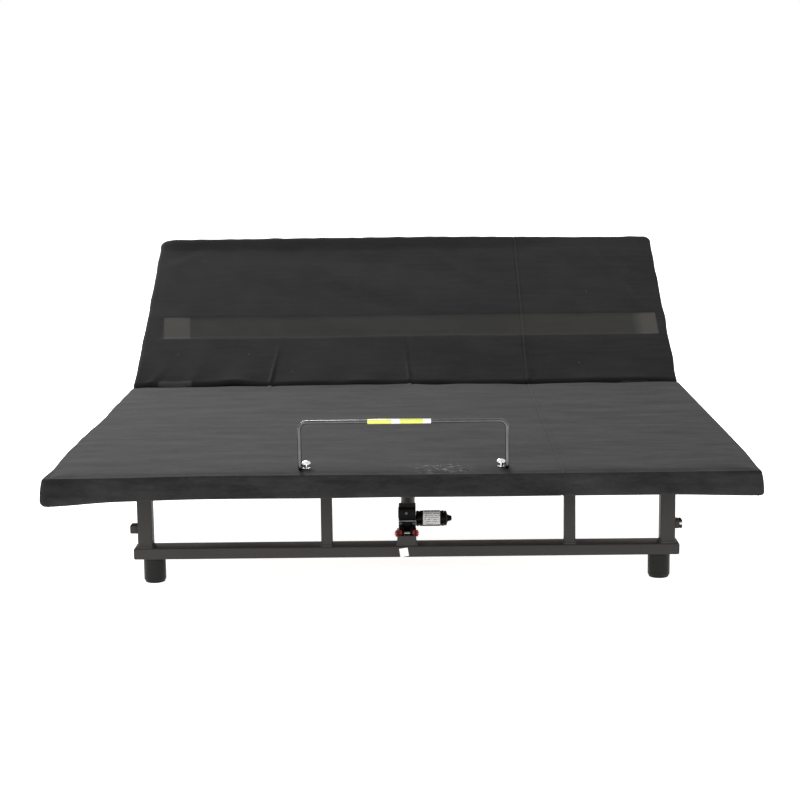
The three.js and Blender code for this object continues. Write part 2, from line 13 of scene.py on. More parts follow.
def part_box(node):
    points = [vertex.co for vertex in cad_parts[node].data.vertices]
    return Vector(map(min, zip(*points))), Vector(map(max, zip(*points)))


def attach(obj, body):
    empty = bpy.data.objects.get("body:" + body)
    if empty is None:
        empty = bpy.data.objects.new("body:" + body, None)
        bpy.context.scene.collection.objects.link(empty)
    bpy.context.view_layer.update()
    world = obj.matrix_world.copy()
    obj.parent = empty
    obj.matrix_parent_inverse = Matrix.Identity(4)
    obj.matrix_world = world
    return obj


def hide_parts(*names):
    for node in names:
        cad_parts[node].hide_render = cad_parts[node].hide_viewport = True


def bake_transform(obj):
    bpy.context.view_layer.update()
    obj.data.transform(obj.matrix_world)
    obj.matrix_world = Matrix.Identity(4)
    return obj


bl_info = {
    "name": "Adjustable bed base",
    "version": (1, 0, 0),
    "blender": (4, 5, 0),
    "location": "3D View > Sidebar > Bed base",
    "description": "Builds the covers, frame, actuator and retainer bar of an adjustable bed base",
    "category": "Object",
}

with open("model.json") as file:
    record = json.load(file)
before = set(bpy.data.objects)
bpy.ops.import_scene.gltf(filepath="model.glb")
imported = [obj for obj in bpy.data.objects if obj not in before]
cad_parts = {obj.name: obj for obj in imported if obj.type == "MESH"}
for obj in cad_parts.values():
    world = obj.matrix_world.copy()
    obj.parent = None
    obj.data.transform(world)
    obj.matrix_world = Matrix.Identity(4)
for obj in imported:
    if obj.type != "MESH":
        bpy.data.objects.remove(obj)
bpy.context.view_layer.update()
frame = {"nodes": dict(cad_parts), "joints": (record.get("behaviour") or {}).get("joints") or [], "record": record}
NODES = frame["nodes"]
RECORD = frame["record"]

X, Y, Z = 0, 1, 2
MM = 0.001
QUARTER = math.pi / 2

# The head section turns about the hinge axis; its cover face's normal gives the rest angle.
HINGE = Vector(next(j for j in frame["joints"] if j["name"] == "head_lift")["pos_m"])
DRIVE = Vector(next(j for j in frame["joints"] if j["name"] == "actuator_swing")["pos_m"])
HEAD_NORMAL = next(m for m in RECORD["mounts"] if m["name"] == "head_mattress_face")["axis"]
REST_ANGLE = math.atan2(-HEAD_NORMAL[Y], HEAD_NORMAL[Z])
DECK_PLACE = Matrix.Translation(HINGE)
HEAD_PLACE = Matrix.Translation(HINGE) @ Matrix.Rotation(REST_ANGLE, 4, "X")
DRIVE_PLACE = Matrix.Translation(DRIVE)


def box_in(node, place):
    """The lowest and highest corners of a CAD node, in the frame that place stands for."""
    back = np.array(place.inverted())
    points = np.array([v.co for v in NODES[node].data.vertices])
    points = points @ back[:3, :3].T + back[:3, 3]
    return Vector(points.min(0)), Vector(points.max(0))


DECK_LOW, DECK_HIGH = box_in("deck_cover", DECK_PLACE)
HEAD_LOW, HEAD_HIGH = box_in("head_cover", HEAD_PLACE)


# ---- Sizes and colours a user would change ------------------------------------------------------


def metres(name, description, default):
    """A size in metres."""
    return FloatProperty(name=name, description=description, default=default, unit="LENGTH")


def base_colour(name, description, default):
    """A colour for one finish."""
    return FloatVectorProperty(name=name, description=description, default=default, subtype="COLOR")


class BedSizes(bpy.types.PropertyGroup):
    """Sizes of the looks; the frame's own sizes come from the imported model."""

    tube_edge: metres("Tube edge", "Outer corner radius of the square tubes", 0.003)
    tube_wall: metres("Tube wall", "Wall thickness of the tubes", 0.002)
    cloth_thickness: metres("Cloth thickness", "Thickness of the cover cloth", 0.0012)
    cover_edge: metres("Cover edge", "Rounding of the covers' upper edges", 0.012)
    seam_place: metres("Seam place", "Distance of the lengthwise seam from the middle", 0.337)
    corner_droop: metres("Corner droop", "How far the left foot corner of the cover hangs", 0.008)
    wire_radius: metres("Wire radius", "Radius of the retainer bar's wire", 0.004)
    turning_steps: IntProperty(
        name="Turning steps", description="Facets around a large turned piece", default=64, min=16, max=128
    )


class BedColours(bpy.types.PropertyGroup):
    """Base colours of the finishes."""

    fabric: base_colour("Fabric", "Charcoal cover cloth", (0.0185, 0.018, 0.0183))
    # Painted light: the paler cloth colour over gaps, standing for light from behind showing through the cloth.
    fabric_painted_backlight: base_colour("Thin fabric", "Cloth where it spans a gap", (0.062, 0.060, 0.054))
    paint: base_colour("Frame paint", "Powder coat on the steel", (0.039, 0.0372, 0.0346))
    plastic: base_colour("Black plastic", "Actuator housings", (0.002, 0.002, 0.0022))
    red: base_colour("Red bushes", "Bushes on the bracket pin", (0.8, 0.05, 0.05))
    tape: base_colour("Reflective tape", "Sleeve on the retainer bar", (0.60, 0.67, 0.10))


# ---- Shader writing -----------------------------------------------------------------------------


class Value:
    """A shader socket; arithmetic on it adds Math nodes."""

    def __init__(self, tree, socket):
        self.tree = tree
        self.socket = socket

    def math(self, operation, *terms, clamp=False):
        node = self.tree.nodes.new("ShaderNodeMath")
        node.operation = operation
        node.use_clamp = clamp
        for socket, term in zip(node.inputs, terms):
            if isinstance(term, Value):
                self.tree.links.new(term.socket, socket)
            else:
                socket.default_value = term
        return Value(self.tree, node.outputs[0])

    def __add__(self, other):
        return self.math("ADD", self, other)

    def __radd__(self, other):
        return self.math("ADD", other, self)

    def __sub__(self, other):
        return self.math("SUBTRACT", self, other)

    def __rsub__(self, other):
        return self.math("SUBTRACT", other, self)

    def __mul__(self, other):
        return self.math("MULTIPLY", self, other)

    def __rmul__(self, other):
        return self.math("MULTIPLY", other, self)

    def __truediv__(self, other):
        return self.math("DIVIDE", self, other)

    def clamped(self):
        return self.math("ADD", self, 0.0, clamp=True)

    def above(self, edge, soft):
        """0 below the edge and 1 above it, over a soft band."""
        return ((self - edge) / soft).clamped()

    def between(self, low, high, soft, soft_high=None):
        """1 between low and high, with soft sides."""
        last = soft_high or soft
        return self.above(low - soft / 2, soft) * (1 - self.above(high - last / 2, last))


class Finish:
    """A material under construction. Constants go straight on the shader's sockets."""

    def __init__(self, name, **constants):
        self.material = bpy.data.materials.new(name)
        self.material.use_nodes = True
        self.tree = self.material.node_tree
        self.shader = self.tree.nodes["Principled BSDF"]
        for socket, value in constants.items():
            self.shader.inputs[socket.replace("_", " ")].default_value = value

    def node(self, kind, settings=None, inputs=None, output=0):
        """Adds a node: its settings first, then its inputs, and gives one output."""
        node = self.tree.nodes.new(kind)
        for key, value in (settings or {}).items():
            setattr(node, key, value)
        for key, value in (inputs or {}).items():
            if isinstance(value, Value):
                self.tree.links.new(value.socket, node.inputs[key])
            else:
                node.inputs[key].default_value = value
        return Value(self.tree, node.outputs[output])

    def place(self, origin=(0, 0, 0), turn=0.0, stretch=(1, 1, 1)):
        """Object coordinates seen from a frame at origin, turned about X and stretched."""
        coords = self.node("ShaderNodeTexCoord", output=3)
        settings = {"vector_type": "TEXTURE"}
        inputs = {"Vector": coords, "Location": origin, "Rotation": (turn, 0, 0), "Scale": stretch}
        return self.node("ShaderNodeMapping", settings, inputs)

    def axes(self, vector):
        split = self.node("ShaderNodeSeparateXYZ", None, {"Vector": vector})
        outputs = split.socket.node.outputs
        return [Value(self.tree, outputs[axis]) for axis in (X, Y, Z)]

    def noise(self, where, size, detail=2.0, roughness=0.5):
        """Cloudy noise from 0 to 1 with features of about the given size in metres."""
        inputs = {"Vector": where, "Scale": 1 / size, "Detail": detail, "Roughness": roughness}
        return self.node("ShaderNodeTexNoise", None, inputs)

    def waves(self, where, period, direction, distortion=0.0):
        settings = {"wave_type": "BANDS", "bands_direction": direction}
        inputs = {"Vector": where, "Scale": QUARTER / 5 / period, "Distortion": distortion}
        return self.node("ShaderNodeTexWave", settings, inputs, output=1)

    def cells(self, where, size, output=0, randomness=1.0):
        inputs = {"Vector": where, "Scale": 1 / size, "Randomness": randomness}
        return self.node("ShaderNodeTexVoronoi", None, inputs, output=output)

    def mix(self, factor, first, second):
        settings = {"data_type": "RGBA"}
        inputs = {0: factor, 6: colour(first), 7: colour(second)}
        return self.node("ShaderNodeMix", settings, inputs, output=2)

    def shade(self, tint, factor):
        """A colour darkened or lightened by a value around 1."""
        settings = {"operation": "SCALE"}
        return self.node("ShaderNodeVectorMath", settings, {0: tint, "Scale": factor})

    def feed(self, socket, value):
        self.tree.links.new(value.socket, self.shader.inputs[socket])

    def done(self, tint, roughness, height, distance, strength):
        """Feeds the colour, the roughness if it varies, and the bump, and gives the material."""
        self.feed("Base Color", tint)
        if roughness:
            self.feed("Roughness", roughness)
        inputs = {"Height": height, "Distance": distance, "Strength": strength}
        self.feed("Normal", self.node("ShaderNodeBump", None, inputs))
        return self.material


def colour(value):
    """A colour with alpha, or a link as it is."""
    return value if isinstance(value, Value) else (*value, 1.0)


def grey(level):
    return (level, level, level)


def colours():
    return bpy.context.scene.bed_colours


def sizes():
    return bpy.context.scene.bed_sizes


# ---- Finishes -----------------------------------------------------------------------------------


def cloth_finish(name, origin, turn, painted_backlight_spots, level=1.0, uneven=0.8, dusty=0.0):
    """Charcoal cover cloth: fine weave, brushed streaks and lint. Painted backlight: lighter spots over gaps,
    where light from behind shows through the cloth. Painted shade: a level below 1 darkens the whole cloth.
    """
    cloth = Finish(name, Sheen_Weight=0.03, Sheen_Roughness=0.5, Specular_IOR_Level=0.08)
    where = cloth.place(origin, turn)
    across, along, _ = cloth.axes(where)
    streaks = cloth.noise(cloth.place(origin, turn, (9, 1, 1)), 0.016, 5, 0.62)
    wide_streaks = cloth.noise(cloth.place(origin, turn, (2.6, 1, 1)), 0.055, 7, 0.76)
    clouds = cloth.noise(cloth.place(origin, turn, (2.2, 1, 1)), 0.16, 4, 0.6)
    fibres = cloth.noise(cloth.place(origin, turn, (4, 1, 1)), 0.0024, 2)
    # A level below 1 is painted shade: the same cloth darkened where it gets less light.
    tone = level * (streaks * 1.2 + wide_streaks * uneven + clouds * 0.6 + fibres * 0.2 - uneven / 2)
    tint = cloth.shade(colours().fabric, tone)
    # Painted backlight: lighter spots over gaps, where light from behind shows through the cloth.
    for (low, high), (near, far), softness, lean, strength in painted_backlight_spots:
        spot = (across + along * lean).between(low, high, *softness) * along.between(near, far, 0.003)
        tint = cloth.mix(spot * strength, tint, colours().fabric_painted_backlight)
    specks = 1 - cloth.cells(where, 0.06).above(0.016, 0.008)
    lint = specks * cloth.noise(where, 0.3, 1).above(0.5, 0.05)
    tint = cloth.mix(lint * 0.4, tint, grey(0.3))
    if dusty:
        smudge = across.between(0.03, 0.14, 0.05) * along.between(-1.25, -1.18, 0.03)
        dust = cloth.noise(where, 0.012, 5, 0.75).above(0.52, 0.12)
        tint = cloth.mix(dust * smudge * dusty, tint, grey(0.2))
    weave = cloth.waves(where, 0.0016, "X", 0.6) + cloth.waves(where, 0.0016, "Y", 0.6)
    relief = weave * 0.35 + fibres * 0.8 + streaks * 0.8
    return cloth.done(tint, 0.82 + streaks * 0.16, relief, 0.0003, 0.8)


def paint_finish(name="frame_powder_coat", tint=None, gloss=0.46):
    """Satin powder coat: fine orange peel, faint cloudiness and rubbed marks."""
    paint = Finish(name, IOR=1.3, Specular_IOR_Level=0.2, Coat_Weight=0.05, Coat_Roughness=0.24)
    where = paint.place()
    cloud = paint.noise(where, 0.12, 4, 0.6)
    peel = paint.noise(where, 0.0011, 2)
    rubbed = paint.noise(paint.place(stretch=(6, 6, 1)), 0.01, 5, 0.7).above(0.66, 0.1)
    base = paint.mix(rubbed * 0.25, tint or colours().paint, grey(0.09))
    shaded = paint.shade(base, 0.82 + cloud * 0.36)
    roughness = gloss - 0.08 + cloud * 0.16 + rubbed * 0.08
    return paint.done(shaded, roughness, peel + cloud * 0.4, 0.00012, 0.55)


def plastic_finish(name, tint, gloss=0.42, grain=0.0007):
    """Moulded plastic with a fine grained face and handling marks."""
    plastic = Finish(name, Specular_IOR_Level=0.12)
    where = plastic.place()
    speckle = plastic.cells(where, grain)
    marks = plastic.noise(where, 0.03, 5, 0.65)
    shaded = plastic.shade(plastic.mix(marks * 0.012, tint, grey(0.25)), 0.9 + marks * 0.2)
    return plastic.done(shaded, gloss + marks * 0.14, speckle, 0.00008, 0.5)


def metal_finish(name, tint, gloss, brushed=(1, 1, 1)):
    """Plated metal with fine drawn lines and slight staining."""
    metal = Finish(name, Metallic=1.0)
    lines = metal.noise(metal.place(stretch=brushed), 0.0012, 4, 0.6)
    stain = metal.noise(metal.place(), 0.03, 4, 0.6)
    shaded = metal.shade(metal.mix(stain * 0.25, tint, grey(0.3)), 0.85 + stain * 0.3)
    return metal.done(shaded, gloss + lines * 0.12 + stain * 0.08, lines, 0.00004, 0.4)


def weld_finish():
    """The same paint over a rougher, slightly burnt bead."""
    weld = Finish("weld_bead_paint", Specular_IOR_Level=0.5)
    where = weld.place()
    grain = weld.noise(where, 0.002, 3)
    shaded = weld.shade(weld.mix(grain * 0.5, colours().paint, grey(0.12)), 0.9 + grain * 0.4)
    return weld.done(shaded, 0.38 + grain * 0.2, grain, 0.0002, 0.6)


def board_finish():
    """Pressed wood board: flattened strands in two tones."""
    board = Finish("pressed_board", Roughness=0.8)
    where = board.place(stretch=(3, 1, 1))
    strands = board.cells(where, 0.005, output=1)
    lightness = board.axes(strands)[X]
    dust = board.noise(board.place(), 0.0015, 3)
    tint = board.mix(lightness, (0.1, 0.072, 0.049), (0.138, 0.103, 0.072))
    relief = board.cells(where, 0.005) + dust * 0.5
    return board.done(board.shade(tint, 0.8 + dust * 0.4), None, relief, 0.0003, 0.6)


def tape_finish():
    """Yellow green reflective tape with a honeycomb and two pale bands."""
    tape = Finish("reflective_tape", Coat_Weight=0.6, Coat_Roughness=0.15, Specular_IOR_Level=0.6)
    where = tape.place()
    across = tape.axes(where)[X]
    comb = tape.cells(where, 0.0032, randomness=0.0)
    pale = across.between(-0.022, -0.003, 0.0008) + across.between(0.045, 0.0622, 0.0008)
    tint = tape.mix(pale, colours().tape, (0.72, 0.74, 0.72))
    grubby = tape.noise(where, 0.012, 4, 0.6)
    shaded = tape.shade(tint, 0.72 + comb * 0.25 + grubby * 0.3)
    return tape.done(shaded, 0.28 + grubby * 0.2, comb, 0.0002, 0.6)


def label_finish(name, lines):
    """White paper label, blank or with faint grey printed bars."""
    paper = Finish(name, Specular_IOR_Level=0.4)
    where = paper.place()
    across = paper.axes(where)[X]
    fibre = paper.noise(where, 0.0012, 3)
    tint = paper.mix(fibre * 0.2, grey(0.97), grey(0.85))
    if lines:
        rows = paper.waves(where, 0.0042, "Z").above(0.62, 0.1)
        words = paper.noise(paper.place(stretch=(1, 1, 0.2)), 0.0035, 1).above(0.47, 0.03)
        edge = across.between(0.047, 0.081, 0.001)
        tint = paper.mix(rows * words * edge * 0.95, tint, grey(0.03))
    return paper.done(tint, 0.45 + fibre * 0.2, fibre, 0.00005, 0.4)


def make_finishes():
    """Every finish, by the piece's own name for it."""
    tone = colours()
    return {
        "paint": paint_finish(),
        "weld": weld_finish(),
        "plastic": plastic_finish("black_housing_plastic", tone.plastic),
        "plug": plastic_finish("end_plug_plastic", grey(0.02), 0.5),
        # Gasket plastic whose pale tone is raised as painted highlight for the housing's bright seam edge; the
        # control box joint shares it.
        "gasket": plastic_finish("pale_gasket", grey(0.75), 0.5),
        "rubber": plastic_finish("foot_rubber", grey(0.014), 0.7, 0.0012),
        "foot": paint_finish("foot_black_paint", (0.0145, 0.0142, 0.0135), 0.36),
        "dark": metal_finish("black_screw_steel", (0.09, 0.09, 0.09), 0.3),
        "red": plastic_finish("red_bush_plastic", tone.red, 0.25),
        "motor": paint_finish("motor_black_paint", grey(0.003), 0.24),
        "steel": metal_finish("zinc_plated_steel", (0.62, 0.62, 0.6), 0.22),
        "chrome": metal_finish("bright_chrome", (0.8, 0.8, 0.8), 0.08),
        "wire": metal_finish("black_chrome_wire", (0.058, 0.058, 0.062), 0.1, (1, 6, 6)),
        "rod": metal_finish("drawn_rod_steel", (0.5, 0.5, 0.5), 0.22, (1, 8, 1)),
        "board": board_finish(),
        "tape": tape_finish(),
        "label": label_finish("motor_label_paper", True),
        "sticker": label_finish("blank_sticker_paper", False),
    }


FINISHES = {}


def finish_of(name):
    if not FINISHES:
        FINISHES.update(make_finishes())
    return FINISHES[name]


# ---- Modelling helpers --------------------------------------------------------------------------


def alone(obj):
    """Makes obj the only selected object and the active one."""
    if bpy.context.object and bpy.context.object.mode != "OBJECT":
        bpy.ops.object.mode_set(mode="OBJECT")
    bpy.ops.object.select_all(action="DESELECT")
    obj.select_set(True)
    bpy.context.view_layer.objects.active = obj


def fresh():
    """Deselects everything before a new primitive."""
    if bpy.context.object and bpy.context.object.mode != "OBJECT":
        bpy.ops.object.mode_set(mode="OBJECT")
    bpy.ops.object.select_all(action="DESELECT")


def named(name):
    """Names the primitive just added and puts its place into its mesh."""
    obj = bpy.context.object
    obj.name = name
    obj.data.name = name
    bpy.ops.object.transform_apply(location=True, rotation=True, scale=True)
    return obj


@contextmanager
def editing(obj, mode="FACE"):
    """Edit mode with nothing selected."""
    alone(obj)
    bpy.ops.object.mode_set(mode="EDIT")
    bpy.ops.mesh.select_mode(type=mode)
    bpy.ops.mesh.select_all(action="DESELECT")
    yield
    bpy.ops.object.mode_set(mode="OBJECT")


def pick(obj, kind, test):
    """Selects the verts, edges or faces that pass a test."""
    mesh = bmesh.from_edit_mesh(obj.data)
    mesh.normal_update()
    for item in getattr(mesh, kind):
        item.select_set(bool(test(item)))
    mesh.select_flush_mode()
    bmesh.update_edit_mesh(obj.data)


def modify(obj, kind, **settings):
    """Adds a modifier and applies it."""
    alone(obj)
    modifier = obj.modifiers.new(kind.lower(), kind)
    for key, value in settings.items():
        setattr(modifier, key, value)
    bpy.ops.object.modifier_apply(modifier=modifier.name)


def soften(obj, width, segments=2, angle=35):
    """Rounds the sharp edges and shades the piece smooth between them."""
    modify(
        obj, "BEVEL", width=width, segments=segments, limit_method="ANGLE",
        angle_limit=math.radians(angle), use_clamp_overlap=True,
    )
    smooth(obj)


def smooth(obj, angle=40):
    alone(obj)
    bpy.ops.object.shade_smooth_by_angle(angle=math.radians(angle))


def settle(obj, body, finish, stands_for=(), place=None):
    """Puts a made piece in place, gives it its finish and lets it ride on its body."""
    if place is not None:
        obj.data.transform(place)
    obj.data.materials.clear()
    obj.data.materials.append(finish_of(finish) if isinstance(finish, str) else finish)
    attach(obj, body)
    if stands_for:
        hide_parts(*stands_for)
    return obj


def copy_of(obj, name, move):
    """A copy with its own mesh, moved by a matrix."""
    twin = obj.copy()
    twin.data = obj.data.copy()
    twin.name = name
    twin.data.name = name
    bpy.context.scene.collection.objects.link(twin)
    twin.data.transform(move)
    return twin


def block(name, low, high, edge=0.0006, segments=2):
    """A box with rounded edges."""
    low, high = Vector(low), Vector(high)
    fresh()
    bpy.ops.mesh.primitive_cube_add(size=1, location=(low + high) / 2, scale=high - low)
    obj = named(name)
    soften(obj, edge, segments)
    return obj


def tube(name, low, high, axis):
    """A square tube along an axis: rounded corners, open ends and a wall."""
    low, high = Vector(low), Vector(high)
    fresh()
    bpy.ops.mesh.primitive_cube_add(size=1, location=(low + high) / 2, scale=high - low)
    obj = named(name)
    with editing(obj):
        pick(obj, "faces", lambda face: abs(face.normal[axis]) > 0.9)
        bpy.ops.mesh.delete(type="ONLY_FACE")
        bpy.ops.mesh.select_mode(type="EDGE")
        pick(obj, "edges", lambda edge: abs((edge.verts[0].co - edge.verts[1].co)[axis]) > 1e-5)
        bpy.ops.mesh.bevel(offset=sizes().tube_edge, segments=4, affect="EDGES")
    modify(obj, "SOLIDIFY", thickness=sizes().tube_wall, offset=-1)
    soften(obj, 0.0003, 2, 60)
    return obj


def turned(name, profile, axis=Z, centre=(0, 0, 0), steps=48, edge=0.0):
    """A turned piece from [radius, distance along the axis] points, extruded and resized ring by ring."""
    fresh()
    radius, start = profile[0]
    closed_start = radius == 0
    rest = profile[1:]
    if closed_start:
        radius = rest[0][0]
        rest = rest[1:]
    fill = "NGON" if closed_start else "NOTHING"
    bpy.ops.mesh.primitive_circle_add(vertices=steps, radius=radius, fill_type=fill, location=(0, 0, start))
    obj = named(name)
    alone(obj)
    bpy.ops.object.mode_set(mode="EDIT")
    bpy.ops.mesh.select_mode(type="EDGE")
    bpy.ops.mesh.select_all(action="SELECT")
    if closed_start:
        bpy.ops.mesh.flip_normals()
    last_radius, last_along = radius, start
    for radius, along in rest:
        if radius == 0:
            bpy.ops.mesh.edge_face_add()
            break
        move = {"value": (0, 0, along - last_along)}
        bpy.ops.mesh.extrude_edges_move(TRANSFORM_OT_translate=move)
        ratio = radius / last_radius
        bpy.ops.transform.resize(value=(ratio, ratio, 1))
        last_radius, last_along = radius, along
    bpy.ops.mesh.select_all(action="SELECT")
    bpy.ops.mesh.remove_doubles(threshold=1e-6)
    bpy.ops.mesh.normals_make_consistent(inside=False)
    bpy.ops.object.mode_set(mode="OBJECT")
    if edge:
        soften(obj, edge, 3, 30)
    else:
        smooth(obj)
    turn = {X: Matrix.Rotation(QUARTER, 4, "Y"), Y: Matrix.Rotation(-QUARTER, 4, "X"), Z: Matrix()}[axis]
    obj.data.transform(Matrix.Translation(centre) @ turn)
    return obj


def refined(node, name, edge, segments=2, angle=35):
    """A copy of a CAD node with its triangles merged and its edges rounded."""
    alone(NODES[node])
    bpy.ops.object.duplicate()
    obj = bpy.context.object
    obj.name = name
    obj.data.name = name
    obj.parent = None
    for key in list(obj.keys()):
        del obj[key]
    with editing(obj):
        bpy.ops.mesh.select_all(action="SELECT")
        bpy.ops.mesh.remove_doubles(threshold=1e-5)
        bpy.ops.mesh.dissolve_limited(angle_limit=math.radians(1))
    soften(obj, edge, segments, angle)
    return obj


def wire(name, points, radius, weights=None, closed=False):
    """A round wire through points, as a mesh. weights swell or thin it along its way."""
    fresh()
    curve = bpy.data.curves.new(name, "CURVE")
    curve.dimensions = "3D"
    curve.bevel_depth = radius
    curve.bevel_resolution = 5
    curve.use_fill_caps = True
    spline = curve.splines.new("POLY")
    spline.points.add(len(points) - 1)
    for point, place in zip(spline.points, points):
        point.co = (*place, 1)
    for point, weight in zip(spline.points, [1] * len(points) if weights is None else weights):
        point.radius = weight
    spline.use_cyclic_u = closed
    obj = bpy.data.objects.new(name, curve)
    bpy.context.scene.collection.objects.link(obj)
    alone(obj)
    bpy.ops.object.convert(target="MESH")
    with editing(obj):
        bpy.ops.mesh.select_all(action="SELECT")
        bpy.ops.mesh.remove_doubles(threshold=1e-6)
        bpy.ops.mesh.normals_make_consistent(inside=False)
    smooth(obj, 50)
    return obj


def rounded_path(corners, radius, steps=8):
    """Points along straight runs joined by true arcs."""
    corners = [Vector(corner) for corner in corners]
    points = [corners[0]]
    for before, corner, after in zip(corners, corners[1:], corners[2:]):
        a, b = (before - corner).normalized(), (after - corner).normalized()
        half = a.angle(b) / 2
        centre = corner + (a + b).normalized() * (radius / math.sin(half))
        start, end = corner + a * (radius / math.tan(half)), corner + b * (radius / math.tan(half))
        sweep = (start - centre).angle(end - centre)
        spin = (start - centre).cross(end - centre).normalized()
        for step in range(steps + 1):
            turn = Matrix.Rotation(sweep * step / steps, 3, spin)
            points.append(centre + turn @ (start - centre))
    points.append(corners[-1])
    return points


def join_pieces(name, parts):
    """Several meshes made one piece."""
    alone(parts[0])
    for part in parts[1:]:
        part.select_set(True)
    bpy.ops.object.join()
    parts[0].name = name
    parts[0].data.name = name
    return parts[0]


# ---- Fabric covers ------------------------------------------------------------------------------

# Where the cloth folds at the hinge, along X.
HINGE_FOLDS = (-0.376, 0.013)
# How far every lower edge sags.
HEM_SAG = 0.001


def spaced(*stretches):
    """Rising values from (start, end, count) stretches, without doubles."""
    parts = [np.linspace(start, end, count + 1)[:-1] for start, end, count in stretches]
    return np.append(np.concatenate(parts), stretches[-1][1])


def cover_columns(reach, spacing):
    """Places across a cover, close together at the hinge folds and the seam."""
    stretches, at = [], -reach
    for place in (*HINGE_FOLDS, sizes().seam_place + 0.002):
        near, far = place - 0.015, place + 0.015
        stretches += [(at, near, round((near - at) / spacing)), (near, far, 16)]
        at = far
    return spaced(*stretches, (at, reach, round((reach - at) / spacing)))


def ripple(x, y, seed, length, stretch=(1, 1), waves=9):
    """Smooth random hills of about unit height, the same each run."""
    random = np.random.default_rng(seed)
    total = np.zeros_like(x)
    for _ in range(waves):
        angle, phase = random.uniform(0, 2 * math.pi, 2)
        size = length * random.uniform(0.6, 1.7)
        lean = x * math.cos(angle) / stretch[0] + y * math.sin(angle) / stretch[1]
        total += np.sin(2 * math.pi * lean / size + phase)
    return total / math.sqrt(waves)


def hill(x, at, width, height):
    """A smooth hill, or a hollow where the height is negative."""
    return height * np.exp(-(((x - at) / width) ** 2))


def ease(value, start, end):
    """0 before start, 1 after end, smooth between."""
    t = np.clip((value - start) / (end - start), 0, 1)
    return t * t * (3 - 2 * t)


def fold(x, s, at, width, reach, height, lean=0.0):
    """A soft crease that runs away from the hinge and fades out."""
    offset = (x - at - lean * s) / width
    return height * (np.exp(-offset**2) - 0.6 * np.exp(-((offset - 1.6) ** 2))) * np.exp(-s / reach)


def crease(x, s, start, end, width, height):
    """A crease along a line between two points, faded at both ends."""
    ax, as_ = start
    dx, ds = end[0] - ax, end[1] - as_
    length = math.hypot(dx, ds)
    t = ((x - ax) * dx + (s - as_) * ds) / length**2
    off = ((x - ax) * ds - (s - as_) * dx) / length / width
    fade = ease(t, -0.15, 0.25) * (1 - ease(t, 0.75, 1.15))
    return height * fade * (np.exp(-off**2) - 0.5 * np.exp(-((off - 1.7) ** 2)))


def seam(x, place):
    """A sunk stitch line with a folded ridge beside it."""
    return hill(x, place, 0.0022, -0.0011) + hill(x, place + 0.005, 0.003, 0.0009)


def rim(d, corner, top, low, depth):
    """Where a cover's edge runs: outward reach, drop and facing angle at a cloth distance d."""
    flat = corner - top
    wall = depth - top - low
    over = np.clip((d - flat) / top, 0, QUARTER)
    down = np.clip(d - flat - top * QUARTER, 0, wall)
    under = np.clip((d - flat - top * QUARTER - wall) / low, 0, QUARTER)
    hem = np.clip(d - flat - top * QUARTER - wall - low * QUARTER, 0, None)
    reach = np.minimum(d, flat) + top * np.sin(over) - low * (1 - np.cos(under)) - hem
    drop = top * (1 - np.cos(over)) + down + low * np.sin(under)
    return reach, drop, over + under


